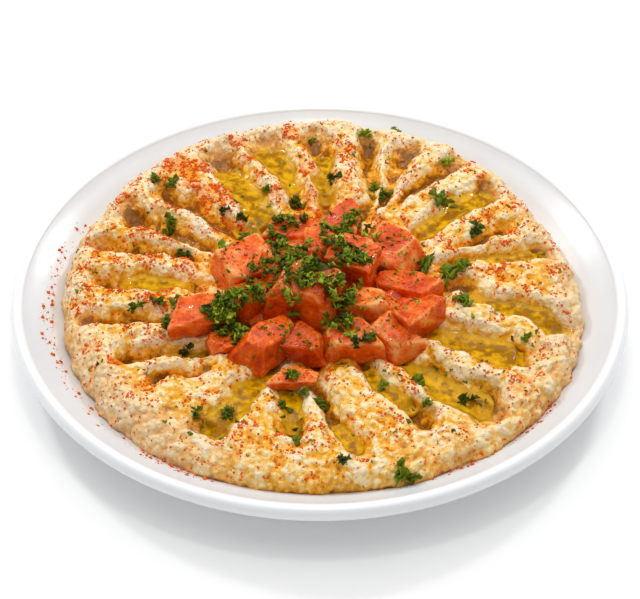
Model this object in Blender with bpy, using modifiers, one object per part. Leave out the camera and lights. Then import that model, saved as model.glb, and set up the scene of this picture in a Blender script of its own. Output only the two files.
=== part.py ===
"""Baba ganoush spread on a round white plate, with olive oil, diced tomato and chopped parsley.

The plate stands on its foot ring at Z = 0, with its middle on the Z axis. +Y points to the back.
Lengths are in metres; the tables below are in millimetres and degrees, as their comments say.
Bearings are measured from +X, turning towards +Y.
"""
import math

import bmesh
import bpy
import numpy as np
from mathutils import Matrix, Vector, noise
from mathutils.bvhtree import BVHTree

MM = 0.001
GAP = 0.3 * MM            # air left between two pieces that touch

# Plate: a flat well, a curve, a straight flange and a rolled lip
PLATE_RADIUS = 130 * MM
PLATE_HEIGHT = 24 * MM
LIP_RADIUS = 3.25 * MM    # the lip is a round roll
WELL_RADIUS = 88 * MM     # where the flat well ends
WELL_TOP = 7 * MM
WALL = 4.3 * MM
FLANGE_SLOPE = math.radians(35)
FLANGE_BEND = 38 * MM     # radius of the curve between well and flange
FOOT_INNER, FOOT_OUTER = 70 * MM, 76 * MM
FOOT_FLARE = 2.5 * MM     # how far the foot ring's sides lean out as they rise
PLATE_STEPS = 48

# Dip: a round heap with a raised ring round a lower middle
DIP_CREST = 27.2 * MM     # height of the raised ring above the table
DIP_BACK_RISE = 2.4 * MM  # the ring stands higher at the back and lower at the front by this
DIP_MIDDLE = 21.0 * MM
MIDDLE_RADIUS, RING_RADIUS = 40 * MM, 62 * MM
FLANK = 12 * MM           # width of the rounded outer slope
# Outline: bearing and radius (degrees and mm), with bulges of these lengths and sizes added
OUTLINE = (
    (0, 110), (28, 108), (55, 112), (85, 114), (115, 113.5), (140, 111), (165, 108.5), (190, 108.5),
    (215, 110.5), (235, 114), (270, 114.3), (305, 114.5), (325, 113.5), (345, 112.5),
)
BULGES = ((30 * MM, 1.6 * MM), (11 * MM, 1.4 * MM))
LUMPS = ((19 * MM, 1.8 * MM), (9 * MM, 1.4 * MM))     # size and height of the spread's lumps
DIP_STEPS = 108
DIP_RINGS = (0, 0.20, 0.36, 0.46, 0.54, 0.61, 0.68, 0.745, 0.81, 0.865, 0.91, 0.95, 0.98)
DIP_UNDER_RINGS = (1, 0.965, 0.92, 0.86, 0.785, 0)

# Spoon strokes: bearing and radius of the outer end, bearing and radius of the inner end,
# width between the crests at the outer end, and depth (degrees and mm)
STROKES = {
    "a": (91, 96, 87, 58, 18, 8.0), "b": (105, 97, 100, 60, 19, 8.5), "c": (117, 97, 121, 50, 22, 8.5),
    "d": (139, 86, 138, 56, 17, 6.5), "e": (150, 93, 153, 60, 20, 8.5), "f": (165, 97, 163, 62, 15, 7.5),
    "g": (179, 87, 178, 55, 16, 7.5), "h": (193, 95, 199, 56, 15, 8.0), "i": (209, 86, 224, 48, 16, 8.0),
    "j": (222, 86, 227, 72, 11, 6.0), "k": (243, 92, 247, 54, 20, 8.5), "l": (262, 82, 257, 58, 17, 7.0),
    "m": (279, 93, 266, 44, 16, 7.5), "n": (298, 86, 291, 54, 17, 8.0), "o": (312, 96, 309, 60, 24, 8.5),
    "p": (332, 89, 329, 56, 27, 8.5), "q": (346, 99, 356, 60, 19, 8.5), "r": (12, 95, 13, 60, 17, 8.0),
    "s": (24, 85, 20, 68, 12, 5.5), "t": (39, 93, 37, 58, 21, 8.5), "u": (53, 98, 56, 66, 15, 7.0),
    "v": (66, 98, 64, 60, 16, 8.0), "w": (77, 98, 69, 58, 17, 8.0),
}
OUTER_END, INNER_END = 14 * MM, 16 * MM   # lengths over which a stroke rises at its two ends
STROKE_WIDENING = 1.1                     # strokes overlap a little past the crests
STROKE_NARROWING = 0.3                    # share of its width that a stroke loses at the inner end
STROKE_DEEPENING = 1.25
STROKE_SHALLOWING = 0.3                   # share of its depth that a stroke loses at the inner end
SHOULDER_SHARE, SHOULDER_WIDTH = 0.2, 1.5 # part of the depth is spread over wider shoulders
NARROW_STROKE, WIDE_STROKE = 16 * MM, 26 * MM
NARROW_FLATNESS, WIDE_FLATNESS = 0.8, 1.3 # a narrow stroke is a crease, a wide one has a flatter floor
CREST_ROUNDING = 3.0                      # how softly neighbouring strokes meet; higher is sharper
WANDER = ((24 * MM, 3.5 * MM), (10 * MM, 1.8 * MM))   # lengths and sizes of the strokes' bends

# Olive oil lying in the strokes: inner and outer radius, and depth over the floor (mm)
POOLS = {
    "a": (60, 84, 3.0), "b": (62, 94, 3.2), "c": (48, 82, 3.4), "g": (58, 80, 2.6), "i": (60, 76, 2.6),
    "k": (58, 90, 3.4), "l": (60, 80, 2.6), "m": (80, 95, 2.8), "n": (56, 76, 2.8), "o": (60, 95, 3.2),
    "p": (56, 90, 3.6), "q": (62, 99, 3.4), "r": (68, 95, 3.0), "t": (58, 92, 3.6),
}

SLAB_DEPTH = 8 * MM       # of the slab that a pool is cut from, deeper than any pool
FLOOR_LIFT = 1.2 * GAP    # how far a pool's underside keeps above the dip, so that slopes keep the gap too

# Diced tomato: x and y of the middle, length, width, height, yaw and lean, and how much of its
# width the far end loses (mm, degrees, share). The first ones lie on the dip, the others on those.
DICE = (
    (-31, 8, 22, 20, 12, 25, 8, 0.10), (-11, 28, 18, 15, 12, -8, 6, 0.15), (11, 32, 19, 16, 12, 64, -8, 0.60),
    (30, 18, 23, 17, 11, -32, 7, 0.10), (38, -5, 18, 13, 9, -14, -6, 0.20), (41, -25, 16, 11, 11, 38, 10, 0.25),
    (-27, -13, 15, 14, 11, 20, -6, 0.15), (-48, -26, 19, 13, 9, 4, 5, 0.10), (-22, -42, 18, 13, 12, 42, 12, 0.30),
    (-39, -38, 11, 9, 7, 15, 4, 0.20), (-5, -39, 11, 11, 11, -20, 8, 0.20), (12, -37, 17, 13, 10, 8, -8, 0.15),
    (31, -37, 13, 13, 9, -38, 6, 0.25), (-9, -58, 11, 8, 4, -6, 4, 0.15), (21, -20, 17, 13, 13, -20, 6, 0.15),
    (-10, 11, 12, 13, 11, 8, 0, 0.10), (7, 12, 15, 12, 11, -12, 0, 0.10), (17, -1, 13, 12, 11, 25, 0, 0.10),
    (-9, -5, 14, 13, 11, -10, 0, 0.10), (1, -21, 13, 12, 11, 6, 0, 0.10),
    (-6, -20, 22, 14, 12, -14, 8, 0.20), (-15, 1, 15, 12, 9, 30, -6, 0.20), (15, 1, 15, 13, 9, -22, 6, 0.15),
    (0, 8, 12, 13, 9, 10, -5, 0.15),
)
DICE_SINK = 1.5 * MM      # how deep a die on the dip has sunk in
DICE_EDGE = 1.4 * MM      # width of the soft edges
ABOVE_ALL = 100 * MM      # a height clear of everything, from which things fall

# Chopped parsley: x and y of the middle, half length, half width and height of each heap, and
# how far its underside keeps clear round what it lies on (mm)
HEAPS = {"parsley_heap": (1, -13, 19, 17, 5.0, 6.5), "parsley_heap_left": (-36, -29, 10, 9, 5.0, 3.5)}
HEAP_BRIDGING = 1.3       # its top stays level over hollows this many times wider than that


def material(name, colour, roughness):
    """A Principled material of one colour, given as the screen shows it."""
    made = bpy.data.materials.new(name)
    made.use_nodes = True
    shader = made.node_tree.nodes["Principled BSDF"]
    linear = [((c + 0.055) / 1.055) ** 2.4 for c in colour]
    shader.inputs["Base Color"].default_value = (*linear, 1)
    shader.inputs["Roughness"].default_value = roughness
    shader.inputs["Metallic"].default_value = 0
    made.diffuse_color = (*linear, 1)
    return made


def collection(name):
    made = bpy.data.collections.new(name)
    bpy.context.scene.collection.children.link(made)
    return made


def add_object(name, mesh, home, finish=None):
    piece = bpy.data.objects.new(name, mesh)
    home.objects.link(piece)
    if finish:
        mesh.materials.clear()
        mesh.materials.append(finish)
    return piece


def evaluated_mesh(piece):
    """The piece's mesh with its modifiers applied."""
    depsgraph = bpy.context.evaluated_depsgraph_get()
    return bpy.data.meshes.new_from_object(piece.evaluated_get(depsgraph))


def make_triangles(mesh):
    shape = bmesh.new()
    shape.from_mesh(mesh)
    bmesh.ops.triangulate(shape, faces=shape.faces[:])
    shape.to_mesh(mesh)
    shape.free()


def turned(name, profile, steps, home, finish=None):
    """A profile of (radius, height) points, turned round the Z axis."""
    mesh = bpy.data.meshes.new(name)
    edges = [(i, i + 1) for i in range(len(profile) - 1)]
    mesh.from_pydata([(radius, 0, height) for radius, height in profile], edges, [])
    piece = add_object(name, mesh, home, finish)
    screw = piece.modifiers.new("turn", "SCREW")
    screw.angle = math.tau
    screw.steps = steps
    screw.render_steps = steps
    screw.use_merge_vertices = True
    screw.merge_threshold = 0.00001
    return piece


def arc(centre_r, centre_z, radius, start, end, steps):
    """Points on an arc, from one angle in degrees to another."""
    angles = [math.radians(start + (end - start) * i / steps) for i in range(steps + 1)]
    return [(centre_r + radius * math.cos(a), centre_z + radius * math.sin(a)) for a in angles]


# Plate

BEND_END_R = WELL_RADIUS + FLANGE_BEND * math.sin(FLANGE_SLOPE)
BEND_END_Z = WELL_TOP + FLANGE_BEND * (1 - math.cos(FLANGE_SLOPE))
LIP_R, LIP_Z = PLATE_RADIUS - LIP_RADIUS, PLATE_HEIGHT - LIP_RADIUS


def plate_top(radius):
    """Height of the plate's upper surface, up to the middle of the flange."""
    if radius <= WELL_RADIUS:
        return WELL_TOP
    if radius <= BEND_END_R:
        return WELL_TOP + FLANGE_BEND - math.sqrt(FLANGE_BEND ** 2 - (radius - WELL_RADIUS) ** 2)
    return BEND_END_Z + (radius - BEND_END_R) * math.tan(FLANGE_SLOPE)


def plate_profile():
    slope = math.degrees(FLANGE_SLOPE)
    well_bottom = WELL_TOP - WALL
    under_bend = FLANGE_BEND + WALL
    profile = [(0, WELL_TOP)]
    profile += arc(WELL_RADIUS, WELL_TOP + FLANGE_BEND, FLANGE_BEND, -90, slope - 90, 4)
    profile += arc(LIP_R, LIP_Z, LIP_RADIUS, 180 - slope, slope - 90, 6)
    profile += arc(WELL_RADIUS, WELL_TOP + FLANGE_BEND, under_bend, slope - 90, -90, 3)
    profile += [(FOOT_OUTER + FOOT_FLARE, well_bottom), (FOOT_OUTER, 0), (FOOT_INNER, 0)]
    profile += [(FOOT_INNER - FOOT_FLARE, well_bottom), (0, well_bottom)]
    return profile


# Dip

def smooth_step(x, low, high):
    t = np.clip((x - low) / (high - low), 0, 1)
    return t * t * (3 - 2 * t)


def noise_at(places, size, seed=0.0):
    """Smooth noise at places given as rows, with lumps of a size."""
    return np.array([noise.noise(place) for place in (places / size + seed).tolist()])


def dip_edge(bearing):
    """Radius of the dip's uneven outline at a bearing."""
    bearings, radii = np.array(OUTLINE).T
    smooth = np.interp(np.degrees(bearing), bearings, radii, period=360) * MM
    along = np.stack([smooth * np.cos(bearing), smooth * np.sin(bearing), np.zeros_like(bearing)], axis=1)
    return smooth + sum(far * noise_at(along, size, 37.0) for size, far in BULGES)


def stroke_cut(radius, bearing):
    """How deep the spoon has pressed the dip down."""
    summed = np.zeros_like(radius)
    for outer_bearing, outer, inner_bearing, inner, width, depth in STROKES.values():
        outer, inner, width = outer * MM, inner * MM, width * STROKE_WIDENING * MM
        along = (radius - inner) / (outer - inner)
        on_stroke = np.clip(along, 0, 1)
        middle = np.radians(inner_bearing + (outer_bearing - inner_bearing) * on_stroke)
        turn = np.arctan2(np.sin(bearing - middle), np.cos(bearing - middle))
        half = width / 2 * (1 - STROKE_NARROWING * (1 - on_stroke))
        past = np.maximum(radius - outer, 0) / OUTER_END + np.maximum(inner - radius, 0) / INNER_END
        reach = np.minimum(np.hypot(radius * turn / half, past), 1)
        slope = np.minimum(np.hypot(radius * turn / (half * SHOULDER_WIDTH), past), 1)
        flatness = np.interp(width, (NARROW_STROKE, WIDE_STROKE), (NARROW_FLATNESS, WIDE_FLATNESS))
        here = (1 - SHOULDER_SHARE) * (1 + np.cos(math.pi * reach ** flatness))
        deepest = depth * STROKE_DEEPENING * (1 - STROKE_SHALLOWING * (1 - on_stroke)) * MM
        here = deepest * 0.5 * (here + SHOULDER_SHARE * (1 + np.cos(math.pi * slope)))
        summed += here ** CREST_ROUNDING
    return summed ** (1 / CREST_ROUNDING)


def dip_top(x, y):
    """Height of the dip's upper surface at points given as arrays."""
    radius, bearing = np.hypot(x, y), np.arctan2(y, x)
    edge = dip_edge(bearing)
    crest = DIP_CREST + DIP_BACK_RISE * np.sin(bearing)
    raised = smooth_step(radius, MIDDLE_RADIUS, RING_RADIUS)
    flat = np.stack([x, y, np.zeros_like(x)], axis=1)
    stray_x = sum(far * noise_at(flat, size, 61.0) for size, far in WANDER)
    stray_y = sum(far * noise_at(flat, size, 83.0) for size, far in WANDER)
    cut = stroke_cut(np.hypot(x + stray_x, y + stray_y), np.arctan2(y + stray_y, x + stray_x))
    body = DIP_MIDDLE + (crest - DIP_MIDDLE) * raised - cut
    for size, height in LUMPS:
        body += height * noise_at(flat + np.array([0, 0, size * size / MM]), size)
    foot = np.array([plate_top(r) for r in edge]) + GAP
    out = np.clip((radius - edge + FLANK) / FLANK, 0, 1)
    return foot + (body - foot) * np.sqrt(1 - out * out)


def make_dip(parts, cutters, finish):
    """A turned disc, shaped by the heights above, with seats cut for the tomato that sank in."""
    unit = [(ring, 1) for ring in DIP_RINGS] + [(ring, 0) for ring in DIP_UNDER_RINGS]
    blank = turned("baba_ganoush", unit, DIP_STEPS, parts)
    mesh = evaluated_mesh(blank)
    bpy.data.objects.remove(blank)
    places = np.array([vertex.co for vertex in mesh.vertices])
    bearing = np.arctan2(places[:, 1], places[:, 0])
    radius = np.hypot(places[:, 0], places[:, 1]) * dip_edge(bearing)
    x, y = radius * np.cos(bearing), radius * np.sin(bearing)
    under = np.array([plate_top(r) for r in radius]) + GAP
    heights = np.where(places[:, 2] > 0.5, dip_top(x, y), under)
    for vertex, place in zip(mesh.vertices, zip(x, y, heights)):
        vertex.co = place
    make_triangles(mesh)
    dip = add_object("baba_ganoush", mesh, parts, finish)
    seats = dip.modifiers.new("seats", "BOOLEAN")
    seats.operation = "DIFFERENCE"
    seats.operand_type = "COLLECTION"
    seats.collection = cutters
    return dip, mesh.copy()


# Tomato

def die_mesh(name, length, width, height, taper, extra=0.0):
    """A block with soft edges, narrower at its far end, grown all round by extra."""
    shape = bmesh.new()
    bmesh.ops.create_cube(shape, size=1)
    for vertex in shape.verts:
        far = vertex.co.x > 0
        vertex.co.x *= length + 2 * extra
        vertex.co.y *= width * (1 - taper * far) + 2 * extra
        vertex.co.z *= height * (1 - taper / 3 * far) + 2 * extra
    bmesh.ops.bevel(shape, geom=shape.edges[:], offset=DICE_EDGE, segments=1, profile=0.5,
                    affect="EDGES", material=-1)
    mesh = bpy.data.meshes.new(name)
    shape.to_mesh(mesh)
    shape.free()
    return mesh


def edge_points(mesh, matrix, spacing=1 * MM):
    """Points along all the mesh's edges."""
    places = [matrix @ vertex.co for vertex in mesh.vertices]
    for edge in mesh.edges:
        start, end = (places[i] for i in edge.vertices)
        count = max(1, round((end - start).length / spacing))
        for i in range(count + 1):
            yield start.lerp(end, i / count)


def tree_of(mesh, matrix):
    return BVHTree.FromPolygons([matrix @ v.co for v in mesh.vertices], [p.vertices[:] for p in mesh.polygons])


def drop(mesh, matrix, below):
    """How far a piece can fall before it meets what lies below it, or None if it meets nothing."""
    down, up = Vector((0, 0, -1)), Vector((0, 0, 1))
    falls = []
    piece_tree = tree_of(mesh, matrix)
    piece_points = list(edge_points(mesh, matrix))
    for other_mesh, other_matrix in below:
        other_tree = tree_of(other_mesh, other_matrix)
        falls += [other_tree.ray_cast(point, down)[3] for point in piece_points]
        falls += [piece_tree.ray_cast(point, up)[3] for point in edge_points(other_mesh, other_matrix)]
    falls = [fall for fall in falls if fall is not None]
    return min(falls) if falls else None


def make_dice(parts, cutters, dip_mesh, finish):
    """Each die falls on the dip and sinks in a little, or comes to rest on the dice under it."""
    level = Matrix.Identity(4)
    settled = []
    for number, (x, y, length, width, height, yaw, lean, taper) in enumerate(DICE, 1):
        name = f"tomato_die_{number:02d}"
        size = (length * MM, width * MM, height * MM, taper)
        mesh = die_mesh(name, *size)
        turn = Matrix.Rotation(math.radians(yaw), 4, "Z") @ Matrix.Rotation(math.radians(lean), 4, "X")
        start = Matrix.Translation((x * MM, y * MM, ABOVE_ALL)) @ turn
        fall = drop(mesh, start, [(dip_mesh, level)]) + DICE_SINK
        on_dice = drop(mesh, start, settled)
        if on_dice is not None:
            fall = min(fall, on_dice - GAP)
        place = Matrix.Translation((0, 0, -fall)) @ start
        settled.append((mesh, place))
        die = add_object(name, mesh, parts, finish)
        die.matrix_world = place
        seat = add_object(f"seat_{number:02d}", die_mesh(f"seat_{number:02d}", *size, extra=GAP), cutters)
        seat.matrix_world = place
        seat.hide_render = True
        seat.display_type = "WIRE"
    return settled


# Olive oil

def keep_largest_body(mesh):
    """Deletes all but the biggest of a mesh's separate bodies."""
    shape = bmesh.new()
    shape.from_mesh(mesh)
    left = set(shape.faces)
    bodies = []
    while left:
        body, search = set(), [left.pop()]
        while search:
            face = search.pop()
            body.add(face)
            pairs = [edge.link_faces for edge in face.edges if len(edge.link_faces) == 2]
            near = {other for pair in pairs for other in pair} & left
            left -= near
            search.extend(near)
        bodies.append(body)
    bodies.sort(key=len)
    small = [face for body in bodies[:-1] for face in body]
    bmesh.ops.delete(shape, geom=small, context="FACES")
    shape.to_mesh(mesh)
    shape.free()


def make_pools(parts, cutters, dip_mesh, finish):
    """Oil fills a stretch of each stroke up to a level: a slab with the dip's surface cut out."""
    dip_floor = add_object("dip_floor", dip_mesh, cutters)
    dip_floor.location.z = FLOOR_LIFT
    for letter, (near, far, depth) in POOLS.items():
        outer_bearing, outer, inner_bearing, inner, width, _ = STROKES[letter]
        middle = (near + far) / 2
        share = (middle - inner) / (outer - inner)
        bearing = math.radians(inner_bearing + (outer_bearing - inner_bearing) * share)
        x, y = middle * MM * math.cos(bearing), middle * MM * math.sin(bearing)
        level = float(dip_top(np.array([x]), np.array([y]))[0]) + depth * MM
        shape = bmesh.new()
        bmesh.ops.create_cone(shape, cap_ends=True, segments=20, radius1=1, radius2=1, depth=1)
        bmesh.ops.scale(shape, vec=((far - near) / 2 * MM, width / 2 * MM, SLAB_DEPTH), verts=shape.verts)
        bmesh.ops.rotate(shape, matrix=Matrix.Rotation(bearing, 3, "Z"), verts=shape.verts)
        bmesh.ops.translate(shape, vec=(x, y, level - SLAB_DEPTH / 2), verts=shape.verts)
        slab_mesh = bpy.data.meshes.new("slab")
        shape.to_mesh(slab_mesh)
        shape.free()
        slab = add_object("slab", slab_mesh, parts)
        cut = slab.modifiers.new("floor", "BOOLEAN")
        cut.operation = "DIFFERENCE"
        cut.object = dip_floor
        pool_mesh = evaluated_mesh(slab)
        bpy.data.objects.remove(slab)
        keep_largest_body(pool_mesh)
        add_object(f"olive_oil_{letter}", pool_mesh, parts, finish)
    bpy.data.objects.remove(dip_floor)


# Parsley

def highest_near(x, y, reach, trees):
    """The highest surface within a reach of a point, looking down."""
    ways = 12
    found = []
    for ring in (0, reach / 2, reach):
        for i in range(ways):
            angle = math.tau * i / ways
            start = Vector((x + ring * math.cos(angle), y + ring * math.sin(angle), ABOVE_ALL))
            hits = [tree.ray_cast(start, Vector((0, 0, -1)))[0] for tree in trees]
            found += [hit.z for hit in hits if hit]
    return max(found)


def make_heaps(parts, below, finish):
    """Heaps of chopped leaf that lie over whatever is under them."""
    trees = [tree_of(mesh, matrix) for mesh, matrix in below]
    for name, (x, y, half_length, half_width, height, clear) in HEAPS.items():
        shape = bmesh.new()
        bmesh.ops.create_uvsphere(shape, u_segments=16, v_segments=8, radius=1)
        for vertex in shape.verts:
            bearing = math.atan2(vertex.co.y, vertex.co.x)
            spread = math.hypot(vertex.co.x, vertex.co.y) * (1 + 0.08 * math.sin(3 * bearing + 1))
            px = (x + half_length * spread * math.cos(bearing)) * MM
            py = (y + half_width * spread * math.sin(bearing)) * MM
            reach = clear * (HEAP_BRIDGING if vertex.co.z > 0.1 else 1) * MM
            rest = highest_near(px, py, reach, trees) + 2 * GAP
            vertex.co = (px, py, rest + max(vertex.co.z, 0) * height * MM)
        mesh = bpy.data.meshes.new(name)
        shape.to_mesh(mesh)
        shape.free()
        add_object(name, mesh, parts, finish)


def main():
    for piece in list(bpy.data.objects):
        bpy.data.objects.remove(piece)
    parts, cutters = collection("baba_ganoush_plate"), collection("cutters")
    ceramic = material("white_glaze", (0.95, 0.95, 0.94), 0.12)
    spread = material("aubergine_dip", (0.90, 0.78, 0.57), 0.45)
    tomato = material("tomato_flesh", (0.84, 0.28, 0.14), 0.25)
    oil = material("olive_oil", (0.78, 0.58, 0.10), 0.05)
    leaf = material("parsley_leaf", (0.28, 0.42, 0.10), 0.55)

    plate = turned("plate", plate_profile(), PLATE_STEPS, parts, ceramic)
    plate.data.shade_smooth()
    dip, whole_dip = make_dip(parts, cutters, spread)
    dip.data.shade_smooth()
    settled = make_dice(parts, cutters, whole_dip, tomato)
    make_pools(parts, cutters, whole_dip, oil)
    make_heaps(parts, [(whole_dip, Matrix.Identity(4))] + settled, leaf)


main()
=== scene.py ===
"""Baba ganoush on a round white plate, with olive oil, diced tomato, parsley and paprika.

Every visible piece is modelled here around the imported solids. The plate stands at Z = 0 with its
middle on the Z axis, and +Y points to the back. Lengths are in metres; the tables are in
millimetres and degrees, as their comments say. Bearings are measured from +X, turning towards +Y.
"""
import math

import bmesh
import bpy
import numpy as np
from bpy.props import FloatProperty, FloatVectorProperty, IntProperty, PointerProperty
from mathutils import Matrix, Vector, noise
from mathutils.bvhtree import BVHTree


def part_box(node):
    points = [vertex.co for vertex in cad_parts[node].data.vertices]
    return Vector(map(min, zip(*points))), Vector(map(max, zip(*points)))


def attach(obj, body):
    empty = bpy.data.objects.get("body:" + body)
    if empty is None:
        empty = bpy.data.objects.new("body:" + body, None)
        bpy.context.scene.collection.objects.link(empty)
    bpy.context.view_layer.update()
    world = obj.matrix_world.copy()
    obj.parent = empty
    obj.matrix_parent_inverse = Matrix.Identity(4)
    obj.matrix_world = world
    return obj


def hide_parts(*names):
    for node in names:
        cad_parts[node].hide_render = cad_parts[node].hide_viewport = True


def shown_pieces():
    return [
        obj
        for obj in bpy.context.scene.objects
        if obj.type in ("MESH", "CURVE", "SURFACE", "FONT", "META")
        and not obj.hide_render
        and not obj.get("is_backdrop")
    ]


bl_info = {
    "name": "Baba Ganoush Plate",
    "version": (1, 0, 0),
    "blender": (4, 5, 0),
    "location": "3D View > Sidebar > Baba Ganoush",
    "description": "Models a plate of baba ganoush with oil, tomato, parsley and paprika",
    "category": "Object",
}

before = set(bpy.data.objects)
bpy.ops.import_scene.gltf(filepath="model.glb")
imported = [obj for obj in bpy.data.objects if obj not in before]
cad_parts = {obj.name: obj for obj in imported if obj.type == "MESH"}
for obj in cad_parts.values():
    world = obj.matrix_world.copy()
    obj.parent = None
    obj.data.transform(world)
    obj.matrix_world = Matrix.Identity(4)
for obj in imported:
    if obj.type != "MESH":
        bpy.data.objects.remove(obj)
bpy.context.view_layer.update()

MM = 0.001
BODY = "root"

# Plate
PLATE_RADIUS = 130 * MM
PLATE_HEIGHT = 24 * MM
LIP_RADIUS = 3.25 * MM
WELL_RADIUS = 88 * MM
WELL_TOP = 7 * MM
WALL = 4.3 * MM
FLANGE_SLOPE = math.radians(35)
FLANGE_BEND = 38 * MM
FOOT_INNER, FOOT_OUTER = 70 * MM, 76 * MM
FOOT_FLARE = 2.5 * MM
FOOT_ROUND = 1.2 * MM
LIP_PAINTED_LIGHT_RADII = (123 * MM, 127 * MM)    # the lip's lighter colour, painted light where the lip catches it, takes over between these
WELL_RINGS, BEND_STEPS, LIP_STEPS, UNDER_STEPS, FOOT_STEPS, TURN_STEPS = 8, 16, 22, 12, 4, 240

# Dip
DIP_CREST = 27.2 * MM
DIP_BACK_RISE = 2.4 * MM
DIP_MIDDLE = 21.0 * MM
MIDDLE_RADIUS, RING_RADIUS = 40 * MM, 62 * MM
FLANK = 12 * MM
# Outline: bearing and radius (degrees and mm), with bulges of these lengths and sizes added
OUTLINE = (
    (0, 110), (28, 108), (55, 112), (85, 114), (115, 113.5), (140, 111), (165, 108.5), (190, 108.5),
    (215, 110.5), (235, 114), (270, 114.3), (305, 114.5), (325, 113.5), (345, 112.5),
)
BULGES = ((30 * MM, 1.6 * MM), (11 * MM, 1.4 * MM))
LUMPS = ((19 * MM, 1.8 * MM), (9 * MM, 1.4 * MM))
GAP = 0.3 * MM

# Spoon strokes: bearing and radius of the outer end, bearing and radius of the inner end,
# width between the crests at the outer end, and depth (degrees and mm)
STROKES = {
    "a": (91, 96, 87, 58, 18, 8.0), "b": (105, 97, 100, 60, 19, 8.5), "c": (117, 97, 121, 50, 22, 8.5),
    "d": (139, 86, 138, 56, 17, 6.5), "e": (150, 93, 153, 60, 20, 8.5), "f": (165, 97, 163, 62, 15, 7.5),
    "g": (179, 87, 178, 55, 16, 7.5), "h": (193, 95, 199, 56, 15, 8.0), "i": (209, 86, 224, 48, 16, 8.0),
    "j": (222, 86, 227, 72, 11, 6.0), "k": (243, 92, 247, 54, 20, 8.5), "l": (262, 82, 257, 58, 17, 7.0),
    "m": (279, 93, 266, 44, 16, 7.5), "n": (298, 86, 291, 54, 17, 8.0), "o": (312, 96, 309, 60, 24, 8.5),
    "p": (332, 89, 329, 56, 27, 8.5), "q": (346, 99, 356, 60, 19, 8.5), "r": (12, 95, 13, 60, 17, 8.0),
    "s": (24, 85, 20, 68, 12, 5.5), "t": (39, 93, 37, 58, 21, 8.5), "u": (53, 98, 56, 66, 15, 7.0),
    "v": (66, 98, 64, 60, 16, 8.0), "w": (77, 98, 69, 58, 17, 8.0),
}
OUTER_END, INNER_END = 14 * MM, 16 * MM
STROKE_WIDENING = 1.1
STROKE_NARROWING = 0.3
STROKE_DEEPENING = 1.25
STROKE_SHALLOWING = 0.3
SHOULDER_SHARE, SHOULDER_WIDTH = 0.2, 1.5    # the walls lean out into shoulders this much wider
NARROW_STROKE, WIDE_STROKE = 16 * MM, 26 * MM
NARROW_FLATNESS, WIDE_FLATNESS = 0.8, 1.3    # a narrow stroke is a crease, a wide one has a flatter floor
CREST_ROUNDING = 3.0
WANDER = ((24 * MM, 3.5 * MM), (10 * MM, 1.8 * MM))    # how the strokes stray: over what length, and how far

# Oil in the strokes: inner and outer radius, and depth over the floor (mm)
POOLS = {
    "a": (60, 84, 3.0), "b": (62, 94, 3.2), "c": (48, 82, 3.4), "g": (58, 80, 2.6), "i": (60, 76, 2.6),
    "k": (58, 90, 3.4), "l": (60, 80, 2.6), "m": (80, 95, 2.8), "n": (56, 76, 2.8), "o": (60, 95, 3.2),
    "p": (56, 90, 3.6), "q": (62, 99, 3.4), "r": (68, 95, 3.0), "t": (58, 92, 3.6),
}

# Diced tomato: x and y of the middle, length, width, height, yaw and lean, and how much of its
# width the far end loses (mm, degrees, share)
DICE = (
    (-31, 8, 22, 20, 12, 25, 8, 0.10), (-11, 28, 18, 15, 12, -8, 6, 0.15),
    (11, 32, 19, 16, 12, 64, -8, 0.60), (30, 18, 23, 17, 11, -32, 7, 0.10),
    (38, -5, 18, 13, 9, -14, -6, 0.20), (41, -25, 16, 11, 11, 38, 10, 0.25),
    (-27, -13, 15, 14, 11, 20, -6, 0.15), (-48, -26, 19, 13, 9, 4, 5, 0.10),
    (-22, -42, 18, 13, 12, 42, 12, 0.30), (-39, -38, 11, 9, 7, 15, 4, 0.20),
    (-5, -39, 11, 11, 11, -20, 8, 0.20), (12, -37, 17, 13, 10, 8, -8, 0.15),
    (31, -37, 13, 13, 9, -38, 6, 0.25), (-9, -58, 11, 8, 4, -6, 4, 0.15),
    (21, -20, 17, 13, 13, -20, 6, 0.15), (-10, 11, 12, 13, 11, 8, 0, 0.10),
    (7, 12, 15, 12, 11, -12, 0, 0.10), (17, -1, 13, 12, 11, 25, 0, 0.10),
    (-9, -5, 14, 13, 11, -10, 0, 0.10), (1, -21, 13, 12, 11, 6, 0, 0.10),
    (-6, -20, 22, 14, 12, -14, 8, 0.20), (-15, 1, 15, 12, 9, 30, -6, 0.20),
    (15, 1, 15, 13, 9, -22, 6, 0.15), (0, 8, 12, 13, 9, 10, -5, 0.15),
)

# Heaps of chopped parsley: x and y of the middle, half length, half width and height (mm)
HEAPS = {"parsley_heap": (1, -13, 19, 17, 5.0), "parsley_heap_left": (-36, -29, 10, 9, 5.0)}

# Places where chopped parsley gathers: x, y, spread along x and along y (mm), and how many bits
CLUSTERS = (
    (-17, 12, 2.2, 6, 34), (-13, -6, 4, 4, 46), (-6, -7, 4, 4, 40), (1, -8, 4, 4, 46),
    (8, -10, 4, 4, 44), (4, 10, 2.5, 5, 36), (15, -3, 3, 3, 32), (11, 0, 3, 3, 22), (-3, -14, 4, 3, 24),
    (-8, -24, 3, 2.5, 26), (-4, -19, 3, 3, 16), (7, -21, 4, 3, 36), (13, -23, 2.5, 2.5, 28),
    (9, -29, 3, 4, 20), (10, -36, 2.5, 3, 14), (-26, -4, 2.5, 3, 16), (-26, -15, 3, 3, 14),
    (17, 28, 4, 4, 16), (-13, 32, 4, 3, 18), (-36, -24, 3.5, 3, 44), (-41, -28, 3, 2.5, 26),
    (-33, -31, 3.5, 3, 50), (-34, -36, 3, 2.5, 26), (-35, -19, 2.5, 2, 12), (-27, -32, 2.5, 2.5, 14),
    (-10, -57, 3, 2, 7),
)

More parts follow.
